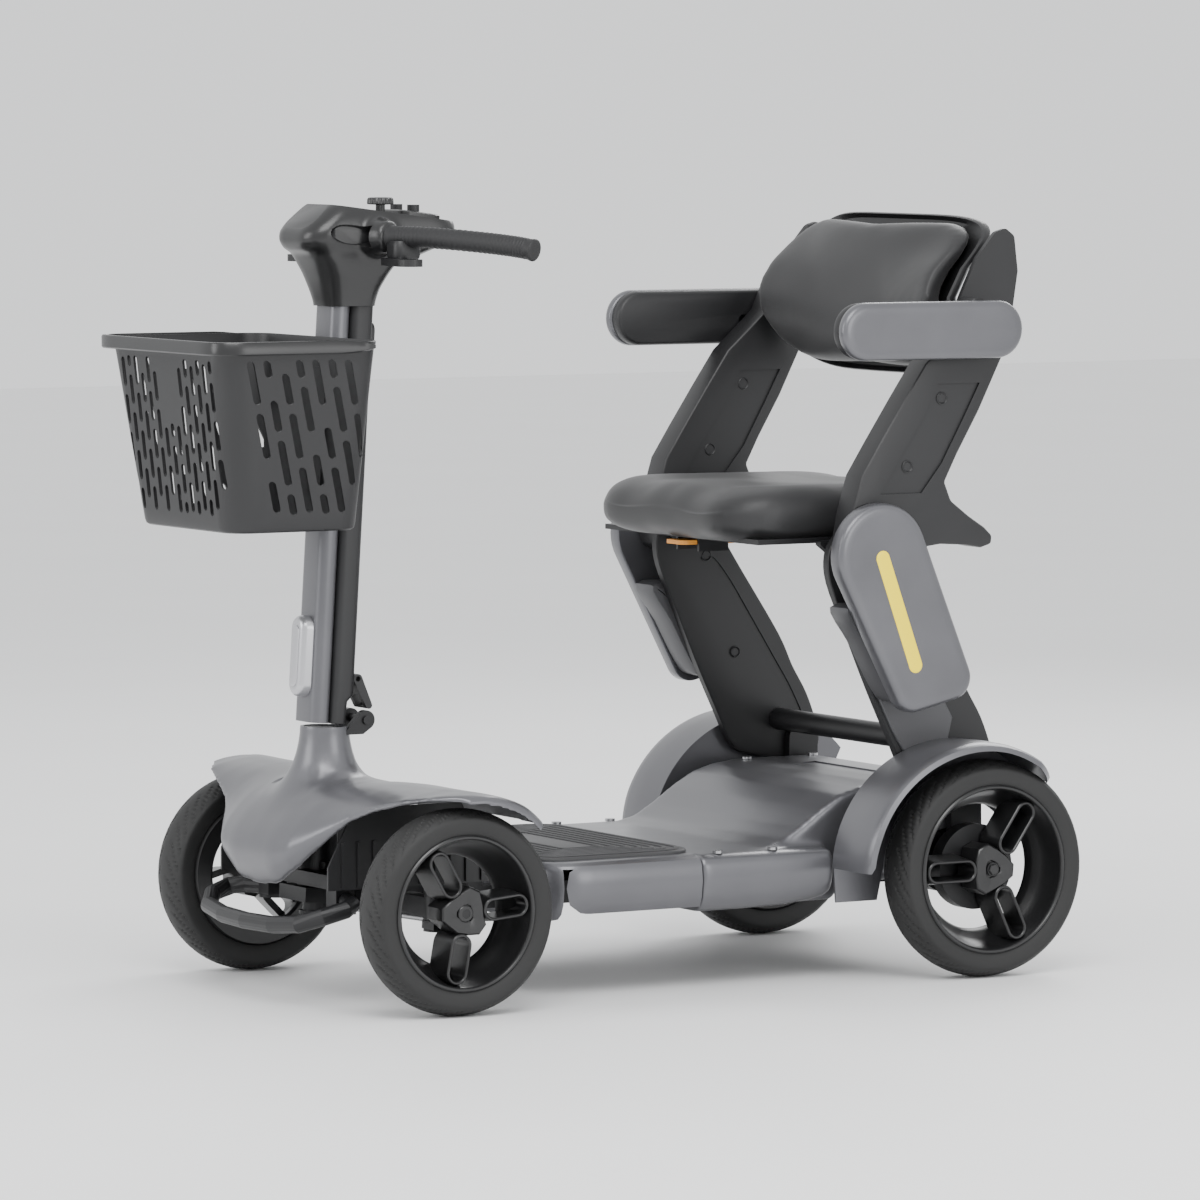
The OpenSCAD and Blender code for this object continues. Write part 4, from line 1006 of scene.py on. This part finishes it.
def front_slots():
    """Upright slots in staggered columns, with a blank field at the top middle."""
    slots = []
    for column in range(-7, 8):
        y = column * COLUMN_STEP
        start = 556 + (column * 23) % ROW_STEP
        top = 668 - 10 * (column == 0) if abs(column) < 2 else 732
        for row in range(-1, 5):
            low = max(start + row * ROW_STEP, 557)
            high = min(start + row * ROW_STEP + SLOT_LONG, top)
            if high - low < 13 or abs(y) > basket_wall(low)[2] - 15:
                continue
            z = (low + high) / 2
            slots.append(slot_cutter(at(basket_wall(z)[0], y, z), (0.1132, 0, 1), (0, 1, 0), (1, 0, -0.11),
                                     high - low, SLOT_WIDE))
    return slots


def side_slots(side):
    """Slanted columns of longer slots."""
    slots = []
    for column in range(8):
        start = 558 + (column * 31) % SIDE_ROW
        for row in range(-1, 4):
            long = 52 if (column + row) % 3 else 36
            low = max(start + row * SIDE_ROW, 558)
            high = min(start + row * SIDE_ROW + long, 733)
            z = (low + high) / 2
            x = 58 + column * SIDE_STEP + (z - 646) * SLANT
            front, rear, half = basket_wall(z)
            if high - low < 14 or x > front - 34 or x < rear + 14:
                continue
            slots.append(slot_cutter(at(x, side * half, z), (SLANT, side * 0.1368, 1), (1, 0, 0),
                                     (0, side, -0.137), (high - low) * 1.03, SIDE_WIDE))
    return slots


def basket():
    """One skin over the outside, the rolled rim and the inside, with its slots cut through."""
    levels = [(541, 10, 26), (538.6, 5, 30), (540.5, 1.6, 32), (545, 0, 34), (600, 0, 33), (660, 0, 32),
              (720, 0, 31), (744, 0, 30), (746, -1.6, 31), (751, -1.8, 31), (752, -0.8, 30.4),
              (752, 2.2, 29), (748, 3, 28), (700, 3, 29), (600, 3, 30), (550, 3.2, 30), (545, 6, 27),
              (543.4, 10, 24)]
    shell = loft("basket_skin", [basket_ring(z, g, r) for z, g, r in levels])
    cut(shell, join("slots", front_slots() + side_slots(-1) + side_slots(1)))
    finish_piece(shell, "mast", BLACK, ["basket"], angle=35)


def bail():
    """Carrying bow that lies round the rim's front and sides."""
    path = [(52, 155), (120, 155), (190, 155), (222, 153), (240, 143), (246.5, 125), (247.5, 80)]
    path += [(247.5, 0)] + [(x, -y) for x, y in path[::-1]]
    line = smooth_path(level(path, 746.4))
    section = [(-2.6, -7.2), (1.2, -7.6), (2.6, -6), (2.8, 5.6), (1.6, 7.4), (-1.6, 7.6), (-2.8, 6),
               (-2.8, -5.6)]
    rings = []
    for i, p in enumerate(line):
        along = (line[min(i + 1, len(line) - 1)] - line[max(i - 1, 0)]).normalized()
        out = along.cross(UP).normalized()
        end = min(i, len(line) - 1 - i)
        k = math.sqrt(min(1, (end + 0.35) / 4))
        rings.append([p - out * a * MM + UP * (b * k * MM) for a, b in section])
    finish_piece(loft("basket_bail_skin", rings), "bail", BLACK_SATIN, ["basket_bail"])


basket()
bail()


# ---------- deck and rear body ----------

# Half of the gap at the deck's seam
SEAM_GAP = 0.8
DECK_LOW = 88.4


def deck_section(x, half, low):
    """Ring across the deck at a station: flat top, creased sides, rounded lower edge."""
    edge = half - 0.5
    right = [(0, DECK_Z), (edge * 0.45, DECK_Z), (edge - 24.2, DECK_Z), (edge - 11, DECK_Z - 0.6),
             (edge - 4.95, DECK_Z - 3.85), (edge - 1.32, DECK_Z - 10.45),
             (edge + 1, DECK_Z - (DECK_Z - low) * 0.42), (edge - 1.5, low + 20), (edge - 6, low + 9),
             (edge - 14, low + 2.4), (edge - 26, low), (edge * 0.5, low), (0, low)]
    ring = right + [(-y, z) for y, z in right[-2:0:-1]]
    return [at(x, y, z) for y, z in ring]


def deck_front():
    """Front half of the footwell deck, rounded off towards the cowl and hollow below."""
    stations = [(-150.5, 163), (-152, 172), (-157, 182), (-165, 191), (-176, 198), (-190, 202),
                (-204, DECK_HALF), (-260, DECK_HALF), (-310, DECK_HALF), (SEAM + SEAM_GAP, DECK_HALF)]
    body = loft("deck_front_skin", [deck_section(x, half, DECK_LOW) for x, half in stations])
    cut(body, prism("hollow", [(-170, 60), (-170, 149), (-400, 149), (-400, 60)], -196, 196))
    finish_piece(body, "chassis", GREY, ["deck_front"], angle=30)


# Rubber mat: middle, half width, length, corner radius
MAT_X, MAT_HALF, MAT_LEN, MAT_R = -255.5, 171, 214, 40


def mat_ring(z, inset, r, steps):
    """Rounded rectangle on the deck, inside the mat's edge."""
    return [at(MAT_X + b, a, z) for a, b in
            round_rect(0, 0, 2 * MAT_HALF - 2 * inset, MAT_LEN - 2 * inset, r, steps)]


def deck_mat():
    """Mat with ribs in rings, one inside the other."""
    parts = [loft("mat", [mat_ring(z, g, MAT_R - g, 10)
                          for z, g in ((155.5, 0), (158.4, 0), (159.4, 0.8), (159.8, 2))])]
    for k in range(7):
        g = 9 + 12 * k
        path = mat_ring(160.2, g, max(42 - g * 0.55, 6), 8)
        parts.append(tube("rib", path, 2.6, 8, closed=True, flat=0.55))
    finish_piece(join("deck_mat_skin", parts), "chassis", MAT, ["deck_mat"])


# Rear wheel arches: middle, first angle and sweep in degrees, inner wall's faces, outer edge
ARCH_X, ARCH_START, ARCH_SWEEP = REAR + 20, 2, 136
WALL_IN, WALL_OUT, FENDER_HALF = 203.2, 206, 285


def rear_body():
    """One moulding: rear footwell, ramp, motor cover and the skins that rise into the wheel covers."""
    side = [(SEAM - SEAM_GAP, DECK_Z), (-420, DECK_Z), (-452, 157.5), (-476, 164), (-500, 178), (-528, 197),
            (-556, 213), (-584, 221), (-612, 224.5), (-660, 225), (-716, 225), (-738, 223), (-750, 216),
            (-754, 204), (-754, 120)]
    low = [(-730, 112), (-560, 108), (-545, 91), (SEAM - SEAM_GAP, 91)]
    core = prism("core", side + low, -171, 171)
    deck = loft("deck", [deck_section(x, DECK_HALF, low_z) for x, low_z in
                         ((SEAM - SEAM_GAP, DECK_LOW), (-420, 88.6), (-470, 90), (-505, 94), (-528, 99))])
    ramp = loft("ramp", [[at(x, y, z) for y, z in
                          [(-half - 6, 120), (-half - 4, top - 16), (-half + 10, top - 3),
                           (half - 10, top - 3), (half + 4, top - 16), (half + 6, 120)]]
                         for x, top, half in
                         ((-440, 156, 150), (-462, 160, 156), (-486, 170, 160), (-514, 188, 163),
                          (-545, 207, 165), (-580, 219, 167), (-620, 223, 168))])
    body = fuse("rear_body_skin", [core, deck, ramp], voxel=4, rounds=10)
    seam = prism("seam", [(SEAM - 1, 60), (SEAM - 1, 200), (SEAM + 60, 200), (SEAM + 60, 60)], -260, 260)
    inside = prism("inside", [(SEAM - 60, 60), (SEAM - 60, 148), (-470, 149), (-505, 170), (-560, 205),
                              (-612, 217), (-735, 217), (-746, 204), (-746, 60)], -163, 163)
    under = prism("under", [(-400, 60), (-400, 99), (-900, 99), (-900, 60)], -150, 150)
    axle = prism("axle", circle(REAR, REAR_R, 40, 32), -240, 240)
    flap = prism_z("flap", [(-770, -18), (-770, 18), (-740, 18), (-740, -18)], 160, 188)
    well = [(ARCH_X + 150 * math.cos(t), REAR_R + 140 * math.sin(t)) for t in turns(60)]
    wells = [prism("well", well, *sorted((s * WALL_OUT, s * 320))) for s in (-1, 1)]
    slots = [prism("slot", [(-800, 60), (-800, 240), (-640, 240), (-606, 190), (-606, 60)],
                   *sorted((s * 173.5, s * WALL_OUT))) for s in (-1, 1)]
    recess = prism_z("recess", [(-640, -70), (-640, 70), (-684, 92), (-684, -92)], 223.2, 240)
    cut(body, seam, inside, under, axle, flap, *wells, *slots, recess)
    finish_piece(body, "chassis", GREY, ["deck_rear", "rear_body_cover"], angle=42)


def rear_fender(side):
    """Thin wheel cover that starts low behind the footwell and ends past the top of the tyre."""
    steps = 46
    rings = []
    for k in range(steps + 1):
        t = k / steps
        a = math.radians(ARCH_START + ARCH_SWEEP * t)
        nx, nz = math.cos(a), math.sin(a)
        x = ARCH_X + (160 if nx > 0 else 146) * nx
        z = REAR_R + 149 * nz
        tip = math.sqrt(min(1.0, (1 - t) * 9 + 0.02))
        outer = FENDER_HALF - 3 * (1 - min(1, t * 8)) - 34 * (1 - tip)
        drop = 9 if t > 0.02 else 4.5
        inner = WALL_IN + 0.2
        half_way = (inner + outer) / 2
        rows = [(inner, 0), (inner + 24, 0.6), (half_way, 1.2), (outer - 14, 0.6), (outer - 5, -0.8),
                (outer - 1.4, -3), (outer, -drop), (outer - 2.6, -drop), (outer - 4.6, -4.6),
                (outer - 14, -3.2), (half_way, -2.6), (inner, -3.4)]
        rings.append([at(x + nx * d, side * y, z + nz * d) for y, d in rows])
    lip = loft("lip", rings)
    wall_line = [(ARCH_X + 159 * math.cos(a) * (1 if math.cos(a) > 0 else 0.912),
                  REAR_R + 148 * math.sin(a)) for a in
                 (math.radians(ARCH_START + ARCH_SWEEP * k / 40) for k in range(41))]
    inner_line = [(ARCH_X + 92 * math.cos(a), REAR_R + 82 * math.sin(a)) for a in
                  (math.radians(150 - 5 * k) for k in range(31))]
    wall = prism("wall", wall_line + inner_line + [(REAR + 120, 92), (REAR + 176, 92)],
                 *sorted((side * WALL_IN, side * WALL_OUT)))
    return join("rear_fender_" + ("left" if side > 0 else "right") + "_skin", [lip, wall])


deck_front()
deck_mat()
rear_body()
for side, hand in ((1, "left"), (-1, "right")):
    finish_piece(rear_fender(side), "chassis", GREY, ["rear_fender_" + hand], angle=42)


# ---------- camera, light, floor ----------

camera_data = bpy.data.cameras.new("camera")
for key, value in (("lens", 221.33), ("sensor_width", 36), ("shift_x", 0.0002), ("shift_y", 0.0040),
                   ("clip_end", 60)):
    setattr(camera_data, key, value)
camera = bpy.data.objects.new("camera", camera_data)
bpy.context.collection.objects.link(camera)
# Where the camera stands, and the direction it looks from
AZIMUTH, ELEVATION = math.radians(149.61), math.radians(4.27)
CAMERA_PLACE = (4007.25, 7396.44, 1072.44)
back = Vector((math.sin(AZIMUTH) * math.cos(ELEVATION), -math.cos(AZIMUTH) * math.cos(ELEVATION),
               math.sin(ELEVATION)))
camera.location = at(*CAMERA_PLACE)
camera.rotation_euler = back.to_track_quat("Z", "Y").to_euler()
bpy.context.scene.camera = camera


def area_light(name, place, aim, size, power):
    """Soft box at a place, turned towards its aim."""
    data = bpy.data.lights.new(name, "AREA")
    data.shape = "RECTANGLE"
    data.size, data.size_y = size
    data.energy = power
    lamp = bpy.data.objects.new(name, data)
    lamp.location = place
    lamp.rotation_euler = (Vector(place) - Vector(aim)).to_track_quat("Z", "Y").to_euler()
    bpy.context.collection.objects.link(lamp)


area_light("key", (1.2, 2.2, 3.2), (0, 0, 0.4), (2.4, 1.8), 95)
area_light("front", (3.4, -0.4, 1.6), (0, 0, 0.45), (1.6, 1.8), 38)
area_light("rim", (-2.6, -1.8, 2.4), (0, 0, 0.5), (1.8, 1.4), 50)
area_light("side", (-0.8, 3.4, 1.2), (0, 0, 0.4), (1.6, 1.2), 26)
world = bpy.data.worlds.new("studio")
world.use_nodes = True
sky = world.node_tree.nodes["Background"]
sky.inputs["Color"].default_value = (0.93, 0.94, 0.95, 1)
sky.inputs["Strength"].default_value = 1.3
bpy.context.scene.world = world
# Half of the floor's width, in metres
FLOOR = 14

floor_mesh = bpy.data.meshes.new("floor")
floor_mesh.from_pydata([(-FLOOR, -FLOOR, 0), (FLOOR, -FLOOR, 0), (FLOOR, FLOOR, 0), (-FLOOR, FLOOR, 0)], [],
                       [(0, 1, 2, 3)])
floor = bpy.data.objects.new("floor", floor_mesh)
bpy.context.collection.objects.link(floor)
floor_mesh.materials.append(surface("floor_paint", (0.9, 0.9, 0.9), rough=0.6, spread=0.01, bump=0.02,
                                    mottling=2))
